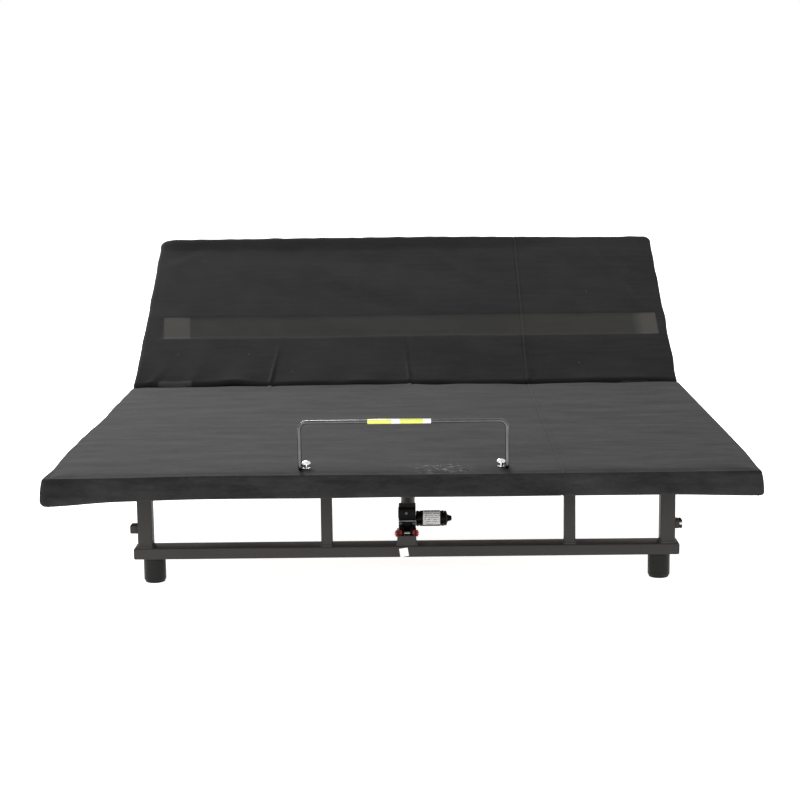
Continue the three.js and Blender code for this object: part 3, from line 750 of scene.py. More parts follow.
def cover_skin(name, way, low, high, corner, shaping, spacing, rows):
    """One cover as a shaped cloth skin with a turned-under hem. s runs from the hinge outward."""
    wrinkles, hang, gape = shaping
    half = high.x
    top_z = high.z
    start, length = (low.y, high.y) if way > 0 else (-high.y, -low.y)
    depth = high.z - low.z
    top, low_edge, hem, hinge_edge = sizes().cover_edge, 0.005, 0.011, 0.011
    across_flat, along_flat = half - corner, length - corner
    rounding = corner - top
    wall = rounding + top * QUARTER
    turn_under = wall + depth - top - low_edge
    hem_start = turn_under + low_edge * QUARTER
    outward = spaced(
        (0, rounding, 2), (rounding, wall, 5), (wall, turn_under, 5),
        (turn_under, hem_start, 3), (hem_start, hem_start + hem, 2),
    )
    inner = cover_columns(across_flat, spacing)
    u = np.concatenate([-across_flat - outward[:0:-1], inner, across_flat + outward[1:]])
    flat_rows = spaced((start + hinge_edge, start + 0.06, 8), (start + 0.06, along_flat, rows))
    round_over = np.linspace(hinge_edge * QUARTER, 0, 5)[:-1]
    v = np.concatenate([start + hinge_edge - round_over, flat_rows, along_flat + outward[1:]])
    rolled = np.concatenate([round_over, np.zeros(len(v) - len(round_over))])

    fresh()
    bpy.ops.mesh.primitive_grid_add(x_subdivisions=len(u) - 1, y_subdivisions=len(v) - 1, size=1)
    obj = named(name)
    grid = np.array([vertex.co for vertex in obj.data.vertices])
    i = np.rint((grid[:, 0] + 0.5) * (len(u) - 1)).astype(int)
    j = np.rint((grid[:, 1] + 0.5) * (len(v) - 1)).astype(int)
    cloth_u, cloth_v, roll = u[i], v[j], rolled[j]

    side = np.clip(np.abs(cloth_u) - across_flat, 0, None)
    end = np.clip(cloth_v - along_flat, 0, None)
    d = np.maximum(side, end)
    ratio = np.minimum(side, end) / np.maximum(d, 1e-9)
    turn = np.where(side >= end, ratio * QUARTER / 2, QUARTER - ratio * QUARTER / 2)
    reach, drop, facing = rim(d, corner, top, low_edge, depth)
    sign = np.sign(cloth_u)
    out_x, out_s = sign * np.cos(turn) * (d > 0), np.sin(turn) * (d > 0)
    x = np.clip(cloth_u, -across_flat, across_flat) + out_x * reach
    s = np.minimum(np.where(roll > 0, start + hinge_edge, cloth_v), along_flat) + out_s * reach
    n = top_z - drop
    normal = np.stack([np.sin(facing) * out_x, np.sin(facing) * out_s, np.cos(facing)], 1)
    bend = roll / hinge_edge
    s = s - hinge_edge * np.sin(bend) + gape(x) * np.exp(-(s - start) / 0.03)
    inner_way = np.minimum(across_flat - np.abs(cloth_u), along_flat - cloth_v).clip(0)
    beside = np.where(d > 0, (drop - top).clip(0), inner_way)
    push = wrinkles(x, s, facing, np.exp(-beside / 0.018)) - hinge_edge * (1 - np.cos(bend))
    lower = np.clip(facing / QUARTER, 0, 1) * ease(drop, 0.004, depth * 0.8)
    points = np.stack([x, s, n], 1) + normal * push[:, None]
    points[:, 2] -= hang(x, s, lower)
    points[:, 1] *= way
    obj.data.vertices.foreach_set("co", points.astype(np.float32).ravel())
    obj.data.update()
    with editing(obj):
        bpy.ops.mesh.select_all(action="SELECT")
        bpy.ops.mesh.normals_make_consistent(inside=False)
    up = sum(f.normal.z * f.area for f in obj.data.polygons)
    if up < 0:
        obj.data.flip_normals()
    return obj


def sideways(facing):
    """0 on the flat top of a cover and 1 on its side walls."""
    return np.sin(np.clip(facing, 0, QUARTER))


def deck_wrinkles(x, s, facing, edge):
    """The flat cover: nearly taut, with slow waves, a wavy hinge edge and full sides."""
    wall = sideways(facing)
    waves = 0.0007 * ripple(x, s, 3, 0.32, (2.2, 1)) + 0.0004 * ripple(x, s, 5, 0.11, (3, 1))
    near_hinge = 0.0020 * np.exp(-s / 0.03) * ripple(x, s, 8, 0.16, (1, 6))
    folds = fold(x, s, HINGE_FOLDS[0], 0.005, 0.06, 0.0034) + fold(x, s, HINGE_FOLDS[1], 0.005, 0.05, 0.003)
    left = ease(-x, 0.70, 0.76) * (1 - ease(s, 0.55, 0.75)) * ease(s, 0.25, 0.5)
    sides = 0.0009 * ripple(x, s, 12, 0.16, (1, 1)) * ease(-x, -0.7, 0.7) + 0.0026 - 0.004 * left
    corner = 0.0045 * ease(-x, 0.6, 0.76) * ease(s, 1.05, 1.26)
    top = (waves + near_hinge + folds) * (1 - wall) + 0.0004
    round_off = 0.0055 * edge * (0.2 + 0.8 * ease(s, 1.0, 1.24))
    return top + (sides + corner) * wall - round_off + seam(x, sizes().seam_place)


def head_wrinkles(x, s, facing, edge):
    """The head cover: sinks over the gap between its boards and creases near its edges."""
    wall = sideways(facing)
    gap = ease(s, 0.228, 0.240) * (1 - ease(s, 0.330, 0.342)) * (1 - ease(np.abs(x), 0.70, 0.735))
    calm = 1 - 0.95 * ease(s, 0.62, 0.73)
    waves = calm * (0.0011 * ripple(x, s, 21, 0.3, (2.0, 1)) + 0.0005 * ripple(x, s, 23, 0.1, (1, 1.6)))
    folds = (
        fold(x, s, HINGE_FOLDS[0] - 0.004, 0.005, 0.09, 0.0056, 0.1)
        + fold(x, s, HINGE_FOLDS[1], 0.005, 0.1, 0.005, -0.08)
        + fold(x, s, 0.345, 0.010, 0.09, 0.0026) + fold(x, s, -0.61, 0.014, 0.05, 0.0022, 0.3)
        + fold(x, s, -0.725, 0.011, 0.035, 0.0050, 0.5)
    )
    creases = (
        crease(x, s, (0.700, 0.35), (0.575, 0.68), 0.012, 0.0026)
        + crease(x, s, (0.735, 0.33), (0.655, 0.60), 0.010, 0.0022)
        + crease(x, s, (0.05, 0.72), (0.22, 0.50), 0.018, 0.0011)
        + crease(x, s, (-0.60, 0.70), (-0.73, 0.60), 0.018, 0.0006)
    )
    lifted = hill(x, -0.485, 0.055, 0.006) + hill(x, 0.55, 0.12, 0.003)
    hinge_edge = (0.0020 * ripple(x, s, 27, 0.13, (1, 6)) + lifted) * np.exp(-s / 0.04)
    sides = 0.0012 * ripple(x, s, 29, 0.12, (0.5, 1.4)) - 0.0006
    crown = 0.0078 * ease(s, 0.69, 0.762) * (1 - 0.8 * ease(x, 0.1, 0.65))
    crown = crown * (1 - 0.7 * ease(np.abs(x), 0.71, 0.76))
    top = (waves + folds + creases + hinge_edge - 0.0010 * gap) * (1 - wall)
    return top + sides * wall + crown - 0.001 * edge + seam(x, sizes().seam_place)


def deck_hang(x, s, lower):
    """How far the flat cover's edge hangs: its left foot corner most, its right one a little."""
    foot = ease(s, 0.95, 1.26)
    left, right = ease(-x, 0.42, 0.76) * foot, ease(x, 0.55, 0.76) * foot
    droop = left * (0.35 + 0.65 * lower) + 0.5 * right * lower
    return sizes().corner_droop * droop + HEM_SAG * lower


def head_hang(_x, _s, lower):
    """The head cover's edge hangs evenly."""
    return HEM_SAG * lower


def deck_gape(x):
    """How far the flat cover's hinge edge stands back."""
    return hill(x, -0.485, 0.06, 0.001)


def head_gape(x):
    """How far the head cover's hinge edge stands back: most left of the middle, where the fold shows."""
    gapes = ((-0.485, 0.065, 0.012), (-0.715, 0.03, 0.006), (0.5, 0.16, 0.004))
    return 0.001 + sum(hill(x, *gape) for gape in gapes)


class BED_OT_deck_cover(bpy.types.Operator):
    """Charcoal cover over the flat section"""

    bl_idname = "bed.deck_cover"
    bl_label = "Deck cover"

    def execute(self, context):
        shaping = (deck_wrinkles, deck_hang, deck_gape)
        obj = cover_skin("deck_fabric_cover", -1, DECK_LOW, DECK_HIGH, 0.012, shaping, 0.010, 128)
        modify(obj, "SOLIDIFY", thickness=sizes().cloth_thickness, offset=-1)
        smooth(obj, 60)
        finish = cloth_finish("deck_charcoal_cloth", tuple(HINGE), 0.0, [], 1.0, 2.6, 0.8)
        settle(obj, "base", finish, ["deck_cover"], DECK_PLACE)
        return {"FINISHED"}


class BED_OT_head_cover(bpy.types.Operator):
    """Charcoal cover over the head section"""

    bl_idname = "bed.head_cover"
    bl_label = "Head cover"

    def execute(self, context):
        shaping = (head_wrinkles, head_hang, head_gape)
        obj = cover_skin("head_fabric_cover", 1, HEAD_LOW, HEAD_HIGH, 0.024, shaping, 0.009, 92)
        modify(obj, "SOLIDIFY", thickness=sizes().cloth_thickness, offset=-1)
        smooth(obj, 60)
        gap = (0.232, 0.338)
        # Painted backlight: lighter cloth over the gap between the head boards and along the hinge edge, where
        # light from behind shows through.
        painted_backlight_spots = [
            ((-0.705, 0.731), gap, (0.006, 0.004), 0.0, 0.19),
            ((0.30, 0.731), gap, (0.15, 0.004), 0.0, 0.08),
            ((-0.673, -0.598), gap, (0.004, 0.008), 0.104, 0.62),
            ((0.676, 0.731), gap, (0.03, 0.004), 0.0, 0.68),
            ((-0.691, -0.598), (0.008, 0.026), (0.006, 0.006), 0.0, 0.5),
        ]
        # The level of 0.65 against the deck's 1.0 is painted shade: the same cloth darkened because the head panel
        # gets less light.
        finish = cloth_finish("head_charcoal_cloth", tuple(HINGE), REST_ANGLE, painted_backlight_spots, 0.65, 0.7)
        settle(obj, "head_section", finish, ["head_cover"], HEAD_PLACE)
        return {"FINISHED"}


class BED_OT_hinge_fold(bpy.types.Operator):
    """Cloth that bridges the hinge line and folds into it"""

    bl_idname = "bed.hinge_fold"
    bl_label = "Hinge fold"

    def execute(self, context):
        half, edge = DECK_HIGH.x - 0.006, DECK_HIGH.z - 0.006
        columns, rows = 260, 16
        fresh()
        bpy.ops.mesh.primitive_grid_add(x_subdivisions=columns, y_subdivisions=rows, size=1)
        obj = named("hinge_fold_cloth")
        grid = np.array([v.co for v in obj.data.vertices])
        x, t = grid[:, 0] * 2 * half, grid[:, 1] + 0.5
        deck_point = np.array([DECK_HIGH.y - 0.004, edge])
        cos, sin = math.cos(REST_ANGLE), math.sin(REST_ANGLE)
        under_head = HEAD_LOW.y + 0.006 + head_gape(x)
        head_point = (cos * under_head - sin * edge, sin * under_head + cos * edge)
        hinge_x = abs(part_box("hinge_pin_left")[0].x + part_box("hinge_pin_left")[1].x) / 2
        over_hinge = 1 - ease(np.abs(np.abs(x) - hinge_x), 0.028, 0.06)
        dip = 0.010 * (1 - over_hinge) * (1 + 0.25 * ripple(x, 0 * x, 31, 0.12))
        y = deck_point[0] * (1 - t) + head_point[0] * t
        z = deck_point[1] * (1 - t) + head_point[1] * t
        z = np.maximum(z - dip * np.sin(math.pi * t) ** 0.8, z.min() - 0.02)
        z += 0.003 * over_hinge * np.sin(math.pi * t)
        y += 0.0012 * ripple(x, 0 * x, 33, 0.1) * np.sin(math.pi * t)
        points = np.stack([x, y + HINGE.y, z + HINGE.z], 1)
        obj.data.vertices.foreach_set("co", points.astype(np.float32).ravel())
        obj.data.update()
        modify(obj, "SOLIDIFY", thickness=0.0008, offset=-1)
        smooth(obj, 60)
        # The same cloth at level 0.22: painted shade for the dark hinge gap.
        obj.data.materials.append(cloth_finish("hinge_charcoal_cloth", tuple(HINGE), 0.0, [], 0.22))
        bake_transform(obj)
        return {"FINISHED"}


# ---- Steel frame --------------------------------------------------------------------------------

LONG_TUBES = ["front_cross_rail", "rear_cross_rail", "front_top_tube", "rear_top_tube"]
SIDES = ("left", "right")
TUBES = [
    (X, Matrix(), "base", LONG_TUBES),
    (Z, Matrix(), "base", [f"{end}_upright_outer_{side}" for end in ("front", "rear") for side in SIDES]),
    (Z, Matrix(), "base", ["front_upright_inner_left", "front_upright_inner_right"]),
    (Y, Matrix(), "base", ["side_beam_left", "side_beam_right"]),
    (X, Matrix(), "base", ["side_stub_left", "side_stub_right"]),
    (X, DECK_PLACE, "base", ["deck_hinge_tube", "deck_mid_tube", "deck_end_tube"]),
    (Y, DECK_PLACE, "base", ["deck_side_rail_left", "deck_side_rail_right"]),
    (X, HEAD_PLACE, "head_section", ["head_hinge_tube", "head_mid_tube", "head_end_tube"]),
    (Y, HEAD_PLACE, "head_section", ["head_side_rail_left", "head_side_rail_right"]),
]


class BED_OT_frame_tubes(bpy.types.Operator):
    """Painted square tubes of the leg frames and of both sections"""

    bl_idname = "bed.frame_tubes"
    bl_label = "Frame tubes"

    def execute(self, context):
        for axis, place, body, nodes in TUBES:
            for node in nodes:
                low, high = box_in(node, place)
                obj = tube(f"{node}_steel", low, high, axis)
                settle(obj, body, "paint", [node], place)
        return {"FINISHED"}


class BED_OT_end_plugs(bpy.types.Operator):
    """Plastic plugs in the open tube ends"""

    bl_idname = "bed.end_plugs"
    bl_label = "End plugs"

    def execute(self, context):
        inset, proud = sizes().tube_wall * 0.6, 0.0022
        ends = [(node, way) for way in (1, -1) for node in LONG_TUBES]
        for node, way in [*ends, ("side_stub_left", -1)]:
            low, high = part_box(node)
            face = high.x if way > 0 else low.x
            outer, inner = face + way * proud, face - way * 0.006
            corner = Vector((min(outer, inner), low.y + inset, low.z + inset))
            far = Vector((max(outer, inner), high.y - inset, high.z - inset))
            obj = block(f"{node}_plug_{'right' if way > 0 else 'left'}", corner, far, 0.0014, 3)
            settle(obj, "base", "plug")
        return {"FINISHED"}


class BED_OT_feet(bpy.types.Operator):
    """Four round feet with rubber soles"""

    bl_idname = "bed.feet"
    bl_label = "Feet"

    def execute(self, context):
        for end in ("front", "rear"):
            for side in SIDES:
                node = f"{end}_foot_{side}"
                low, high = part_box(node)
                centre = Vector(((low.x + high.x) / 2, (low.y + high.y) / 2, 0))
                r, top = (high.x - low.x) / 2, high.z
                body = [
                    (0, 0.0042), (r - 0.002, 0.0042), (r, 0.0062),
                    (r, top - 0.004), (r - 0.001, top), (0, top),
                ]
                leg = turned(f"{node}_leg", body, Z, centre, sizes().turning_steps, 0.0006)
                settle(leg, "base", "foot", [node])
                sole = [(0, 0), (r - 0.004, 0), (r - 0.0025, 0.0012), (r - 0.0022, 0.0046), (0, 0.0046)]
                pad = turned(f"{node}_sole", sole, Z, centre, sizes().turning_steps, 0.0005)
                settle(pad, "base", "rubber")
        return {"FINISHED"}


def bead(name, start, end, radius=0.0021, pitch=0.0034):
    """A weld bead between two points, with the ripple of its steps."""
    start, end = Vector(start), Vector(end)
    count = max(6, int((end - start).length / pitch * 4))
    points = [start.lerp(end, k / count) for k in range(count + 1)]
    weights = [0.82 + 0.2 * abs(math.sin(math.pi * k / 4)) for k in range(count + 1)]
    weights[0] = weights[-1] = 0.4
    return wire(name, points, radius, weights)


class BED_OT_welds(bpy.types.Operator):
    """Weld beads where the uprights, bracket and lever meet their tubes"""

    bl_idname = "bed.welds"
    bl_label = "Welds"

    def execute(self, context):
        uprights = [n for n in NODES if "upright" in n]
        for node in sorted(uprights):
            low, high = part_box(node)
            beads = []
            for z in (low.z, high.z):
                for y in (low.y, high.y):
                    beads.append(bead("bead", (low.x + 0.001, y, z), (high.x - 0.001, y, z)))
                for x in (low.x, high.x):
                    beads.append(bead("bead", (x, low.y + 0.001, z), (x, high.y - 0.001, z)))
            settle(join_pieces(f"{node}_welds", beads), "base", "weld")
        low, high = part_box("actuator_bracket")
        beads = [bead("bead", (x, low.y + 0.002, low.z), (x, high.y - 0.002, low.z)) for x in (low.x, high.x)]
        settle(join_pieces("bracket_welds", beads), "base", "weld")
        beads = []
        for side in SIDES:
            low, high = box_in(f"lift_cheek_{side}", HEAD_PLACE)
            for x in (low.x, high.x):
                beads.append(bead("bead", (x, 0.016, high.z), (x, 0.040, high.z), 0.0024))
        settle(join_pieces("lever_welds", beads), "head_section", "weld", (), HEAD_PLACE)
        return {"FINISHED"}


class BED_OT_plates(bpy.types.Operator):
    """Hinge leaves, pins, lever cheeks and the actuator's bracket"""

    bl_idname = "bed.plates"
    bl_label = "Hinges, lever and bracket"

    def execute(self, context):
        pairs = {"hinge_leaf_fixed": "base", "hinge_leaf_moving": "head_section", "lift_cheek": "head_section"}
        plates = [(f"{kind}_{side}", body) for kind, body in pairs.items() for side in SIDES]
        for node, body in [*plates, ("actuator_bracket", "base")]:
            settle(refined(node, f"{node}_plate", 0.0005), body, "paint", [node])
        for side in SIDES:
            node = f"hinge_pin_{side}"
            low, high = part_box(node)
            r, half = (high.z - low.z) / 2, (high.x - low.x) / 2
            head = -half + 0.0015
            profile = [(0, -half), (r * 1.5, -half), (r * 1.5, head), (r, head), (r, half), (0, half)]
            pin = turned(f"{node}_rivet", profile, X, (low + high) / 2, 32, 0.0004)
            settle(pin, "base", "steel", [node])
        return {"FINISHED"}


def screw(name, radius=0.0045, height=0.0026):
    """A domed screw head with a six-sided socket, facing +Z at the origin."""
    shoulder = (radius * 0.8, height * 0.85)
    dome = [(0, 0), (radius, 0), (radius, height * 0.35), shoulder, (radius * 0.5, height), (0, height)]
    head = turned(name, dome, Z, (0, 0, 0), 32)
    fresh()
    depth = height * 1.4
    bpy.ops.mesh.primitive_cylinder_add(vertices=6, radius=radius * 0.48, depth=depth, location=(0, 0, height))
    socket = named("socket_tool")
    modify(head, "BOOLEAN", operation="DIFFERENCE", solver="EXACT", object=socket)
    bpy.data.objects.remove(socket)
    smooth(head, 30)
    return head


FACING = {
    "+X": Matrix.Rotation(QUARTER, 4, "Y"), "-X": Matrix.Rotation(-QUARTER, 4, "Y"),
    "+Y": Matrix.Rotation(-QUARTER, 4, "X"), "-Y": Matrix.Rotation(QUARTER, 4, "X"),
    "+Z": Matrix(), "-Z": Matrix.Rotation(math.pi, 4, "X"),
}


class BED_OT_screws(bpy.types.Operator):
    """Screws in the hinge leaves, stub cap, gear housing and control box"""

    bl_idname = "bed.screws"
    bl_label = "Screws"

    def execute(self, context):
        pattern = screw("screw_pattern", 0.0036, 0.002)
        sets = []
        for side in SIDES:
            low, high = box_in(f"hinge_leaf_fixed_{side}", DECK_PLACE)
            spots = [((x, -0.011, -0.02), "+Y") for x in (low.x + 0.012, high.x - 0.012)]
            sets.append((f"hinge_screws_fixed_{side}", spots, DECK_PLACE, "base"))
            low, high = box_in(f"hinge_leaf_moving_{side}", HEAD_PLACE)
            spots = [((x, 0.011, -0.02), "-Y") for x in (low.x + 0.012, high.x - 0.012)]
            sets.append((f"hinge_screws_moving_{side}", spots, HEAD_PLACE, "head_section"))
        low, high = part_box("side_stub_cap")
        spot = ((high.x - 0.004, low.y, (low.z + high.z) / 2 + 0.002), "-Y")
        sets.append(("stub_cap_screw", [spot], Matrix(), "base"))
        low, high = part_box("gear_housing")
        y = low.y + 0.049
        across, up = (low.x + 0.005, high.x - 0.005), (low.z + 0.005, high.z - 0.006)
        spots = [((x, y, z), "-Y") for x in across for z in up]
        sets.append(("gear_housing_screws", spots, Matrix(), "lift_actuator"))
        low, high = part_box("gear_housing_cover")
        spot = ((DRIVE.x - 0.002, low.y, high.z - 0.013), "-Y")
        sets.append(("gear_cover_screw", [spot], Matrix(), "lift_actuator"))
        low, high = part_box("control_box")
        y0 = high.y - 0.1
        spots = [((x, y, low.z), "-Z") for x in (low.x + 0.01, high.x - 0.01) for y in (y0, high.y - 0.01)]
        sets.append(("control_box_screws", spots, Matrix(), "base"))
        for name, spots, place, body in sets:
            copies = [
                copy_of(pattern, "screw", place @ Matrix.Translation(at) @ FACING[facing])
                for at, facing in spots
            ]
            settle(join_pieces(name, copies), body, "dark" if body == "lift_actuator" else "steel")
        bpy.data.objects.remove(pattern)
        return {"FINISHED"}


class BED_OT_boards(bpy.types.Operator):
    """Pressed boards under the covers"""

    bl_idname = "bed.boards"
    bl_label = "Boards"

    def execute(self, context):
        for node in ("deck_board_middle", "deck_board_foot", "head_board_lower", "head_board_upper"):
            NODES[node].data.materials.clear()
            NODES[node].data.materials.append(finish_of("board"))
        return {"FINISHED"}


# ---- Lift actuator ------------------------------------------------------------------------------


class BED_OT_gear_housing(bpy.types.Operator):
    """Gear housing in two halves with its ribs and a gasket strip, whose pale tone is painted highlight for the
    bright seam edge
    """

    bl_idname = "bed.gear_housing"
    bl_label = "Gear housing"

    def execute(self, context):
        lower = refined("gear_housing", "gear_housing_lower_shell", 0.0011, 3)
        settle(lower, "lift_actuator", "plastic", ["gear_housing"])
        upper = refined("gear_housing_cover", "gear_housing_upper_shell", 0.0016, 3)
        settle(upper, "lift_actuator", "plastic", ["gear_housing_cover"])
        low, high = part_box("gear_housing_cover")
        ribs = []
        for k in range(4):
            y = low.y + 0.014 + k * 0.010
            near, far = (low.x - 0.0012, y, low.z + 0.004), (low.x + 0.001, y + 0.003, high.z - 0.008)
            ribs.append(block("rib", near, far))
        settle(join_pieces("gear_housing_ribs", ribs), "lift_actuator", "plastic")
        # The gasket strip at the seam: a real strip, with its pale tone raised as painted highlight for the bright
        # seam edge.
        seam_z = low.z - 0.0002
        gasket = block(
            "housing_gasket", (low.x - 0.0004, low.y - 0.0004, seam_z - 0.0006),
            (high.x + 0.0004, high.y + 0.0004, seam_z + 0.0006), 0.0003,
        )
        settle(gasket, "lift_actuator", "gasket")
        return {"FINISHED"}


class BED_OT_motor(bpy.types.Operator):
    """Motor can, end cap with cable gland, and a label"""

    bl_idname = "bed.motor"
    bl_label = "Motor"

    def execute(self, context):
        low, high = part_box("motor_can")
        centre = Vector((0, (low.y + high.y) / 2, (low.z + high.z) / 2))
        r, a, b = (high.z - low.z) / 2, low.x, high.x
        can = [
            (0, a), (r - 0.003, a), (r, a + 0.002), (r, a + 0.006), (r - 0.0012, a + 0.0065),
            (r - 0.0012, a + 0.009), (r, a + 0.0095), (r, b - 0.008), (r - 0.001, b - 0.0075),
            (r - 0.001, b - 0.005), (r, b - 0.0045), (r, b - 0.001), (r - 0.001, b), (0, b),
        ]
        obj = turned("motor_can_shell", can, X, centre, sizes().turning_steps, 0.0003)
        settle(obj, "lift_actuator", "motor", ["motor_can"])
        low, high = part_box("motor_end_cap")
        c, d = low.x, high.x
        cap = [
            (0, c), (r - 0.001, c), (r - 0.001, c + 0.005), (r - 0.007, c + 0.0075), (0.0085, c + 0.008),
            (0.008, c + 0.010), (0.0065, c + 0.0105), (0.0075, c + 0.012), (0.006, c + 0.0135),
            (0.0065, c + 0.015), (0.005, d - 0.001), (0.003, d), (0, d),
        ]
        obj = turned("motor_end_cap_shell", cap, X, centre, sizes().turning_steps, 0.0003)
        settle(obj, "lift_actuator", "plastic", ["motor_end_cap"])
        label = turned("motor_label_band", [(r + 0.0002, 0.0436), (r + 0.0002, 0.0822)], X, centre, 96)
        with editing(label):
            pick(label, "faces", lambda f: not label_side(f.calc_center_median() - centre))
            bpy.ops.mesh.delete(type="FACE")
        outward(label, centre)
        modify(label, "SOLIDIFY", thickness=0.00015, offset=1)
        smooth(label)
        settle(label, "lift_actuator", "label")
        return {"FINISHED"}


def label_side(offset):
    """The stretch of the motor can that the label covers: the front and the upper side."""
    angle = math.degrees(math.atan2(offset.z, -offset.y))
    return -42 < angle < 100


def outward(obj, centre):
    """Turns an open skin so that its faces point away from a line along X."""
    def along_normal(face):
        return (face.center - centre).dot(Vector((0, face.normal.y, face.normal.z))) * face.area

    if sum(along_normal(face) for face in obj.data.polygons) < 0:
        obj.data.flip_normals()


class BED_OT_drive_tubes(bpy.types.Operator):
    """Outer tube, spindle, push rod and its pin"""

    bl_idname = "bed.drive_tubes"
    bl_label = "Drive tubes and rod"

    def execute(self, context):
        low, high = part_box("actuator_tube")
        r, a, b = (high.x - low.x) / 2 - 0.0015, low.y - DRIVE.y, high.y - DRIVE.y
        bore = 0.0136
        profile = [
            (bore, a), (r, a), (r, b - 0.032), (r + 0.0015, b - 0.031), (r + 0.0015, b - 0.002), (r, b),
            (0.0115, b), (0.0115, b - 0.012), (bore, b - 0.012), (bore, a),
        ]
        obj = turned("actuator_outer_tube", profile, Y, DRIVE, sizes().turning_steps)
        settle(obj, "lift_actuator", "plastic", ["actuator_tube"])
        obj = refined("push_rod", "push_rod_bar", 0.0008, 2, 40)
        settle(obj, "lift_rod", "rod", ["push_rod"])
        obj = refined("rod_pin", "rod_pin_shaft", 0.0006, 2, 40)
        settle(obj, "lift_rod", "steel", ["rod_pin"])
        low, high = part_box("spindle")
        count = 90
        radius = (high.x - low.x) / 2
        start, end = low.y - DRIVE.y + 0.004, high.y - DRIVE.y - 0.004
        profile = [(0, start - 0.004), (radius * 0.8, start - 0.004)]
        for k in range(count):
            y = start + (end - start) * k / count
            profile += [(radius, y), (radius * 0.82, y + (end - start) / count * 0.5)]
        profile += [(radius * 0.8, end + 0.004), (0, end + 0.004)]
        obj = turned("spindle_thread", profile, Y, DRIVE, 24)
        settle(obj, "lift_actuator", "steel", ["spindle"])
        return {"FINISHED"}


class BED_OT_bracket_pin(bpy.types.Operator):
    """Pin and red bushes that hold the actuator in its bracket"""

    bl_idname = "bed.bracket_pin"
    bl_label = "Bracket pin and bushes"

    def execute(self, context):
        low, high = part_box("bracket_pin")
        r = (high.z - low.z) / 2
        a, b = low.x, high.x
        profile = [(0, a), (r - 0.001, a), (r, a + 0.001), (r, b - 0.001), (r - 0.001, b), (0, b)]
        shaft = turned("bracket_pin_shaft", profile, X, Vector((0, DRIVE.y, DRIVE.z)), 40)
        settle(shaft, "base", "chrome", ["bracket_pin"])
        for side in SIDES:
            node = f"pin_bush_{side}"
            settle(refined(node, f"{node}_moulding", 0.0007, 3, 40), "base", "red", [node])
        return {"FINISHED"}


class BED_OT_control_box(bpy.types.Operator):
    """Control box under the flat section"""

    bl_idname = "bed.control_box"
    bl_label = "Control box"

    def execute(self, context):
        obj = refined("control_box", "control_box_shell", 0.0018, 3)
        settle(obj, "base", "plastic", ["control_box"])
        low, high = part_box("control_box")
        z = (low.z + high.z) / 2
        y0 = high.y - 0.12
        near, far = (low.x - 0.0005, y0 - 0.0005, z - 0.0008), (high.x + 0.0005, high.y + 0.0005, z)
        band = block("control_box_joint", near, far, 0.0003)
        settle(band, "base", "gasket")
        return {"FINISHED"}


class BED_OT_stub_cap(bpy.types.Operator):
    """Rounded plastic cap on the right side stub"""

    bl_idname = "bed.stub_cap"
    bl_label = "Stub cap"

    def execute(self, context):
        obj = refined("side_stub_cap", "side_stub_cap_moulding", 0.0022, 4)
        settle(obj, "base", "plug", ["side_stub_cap"])
        return {"FINISHED"}


# ---- Retainer bar and labels --------------------------------------------------------------------


class BED_OT_retainer(bpy.types.Operator):
    """Wire mattress retainer with its reflective sleeve and round-headed bolts"""

    bl_idname = "bed.retainer"
    bl_label = "Retainer bar"

    def execute(self, context):
        r = sizes().wire_radius
        low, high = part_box("retainer_bar")
        x0, x1, front, back = low.x + r, high.x - r, low.y + r, high.y
        lying, top = low.z + r, high.z - r
        corners = [(x0, back, lying), (x0, front, lying), (x0, front, top),
                   (x1, front, top), (x1, front, lying), (x1, back, lying)]
        obj = wire("retainer_bar_wire", rounded_path(corners, 0.0155, 10), r)
        settle(obj, "base", "wire", ["retainer_bar"])
        low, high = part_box("reflective_sleeve")
        outer, inner = (high.z - low.z) / 2, r + 0.00012
        a, b = low.x, high.x
        profile = [
            (inner, a), (outer - 0.0003, a), (outer, a + 0.0004), (outer, b - 0.0004),
            (outer - 0.0003, b), (inner, b), (inner, a),
        ]
        obj = turned("reflective_sleeve_tape", profile, X, Vector((0, front, top)), 48)
        settle(obj, "base", "tape", ["reflective_sleeve"])
        for side in SIDES:
            node = f"retainer_knob_{side}"
            low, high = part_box(node)
            centre = Vector(((low.x + high.x) / 2, (low.y + high.y) / 2, low.z))
            h, w = high.z - low.z, (high.x - low.x) / 2
            profile = [
                (0, 0), (0.0085, 0), (0.0085, 0.0012), (0.0042, 0.0014), (0.0042, 0.0092),
                (w, 0.0096), (w, 0.0112), (w * 0.93, 0.0128), (w * 0.72, 0.0147),
                (w * 0.4, h - 0.0004), (w * 0.12, h), (0, h),
            ]
            settle(turned(f"{node}_bolt", profile, Z, centre, 48), "base", "chrome", [node])
        return {"FINISHED"}


class BED_OT_sticker(bpy.types.Operator):
    """Small blank sticker on the front rail"""

    bl_idname = "bed.sticker"
    bl_label = "Rail sticker"

    def execute(self, context):
        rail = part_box("front_cross_rail")[0]
        obj = block("rail_sticker", (-0.0095, -0.0002, -0.0095), (0.0095, 0.0001, 0.0095), 0.00004, 1)
        turn = Matrix.Rotation(math.radians(-9), 4, "Y")
        place = Matrix.Translation((0, rail.y, rail.z + 0.0115)) @ turn
        settle(obj, "base", "sticker", (), place)
        return {"FINISHED"}


# ---- Stage --------------------------------------------------------------------------------------

CAMERA_PLACE = (0.036, -4.7583, 1.0455)
# Yaw, downward pitch and roll, in degrees.
CAMERA_ANGLES = (0.584, 8.977, -0.719)
CAMERA_LENS = 82.34
FLOOR_GLOW = 0.85


def area_light(name, place, aim, size, power):
    light = bpy.data.lights.new(name, "AREA")
    light.shape = "RECTANGLE"
    light.size, light.size_y = size
    light.energy = power
    obj = bpy.data.objects.new(name, light)
    bpy.context.scene.collection.objects.link(obj)
    obj.location = place
    obj.rotation_euler = (Vector(aim) - Vector(place)).to_track_quat("-Z", "Y").to_euler()


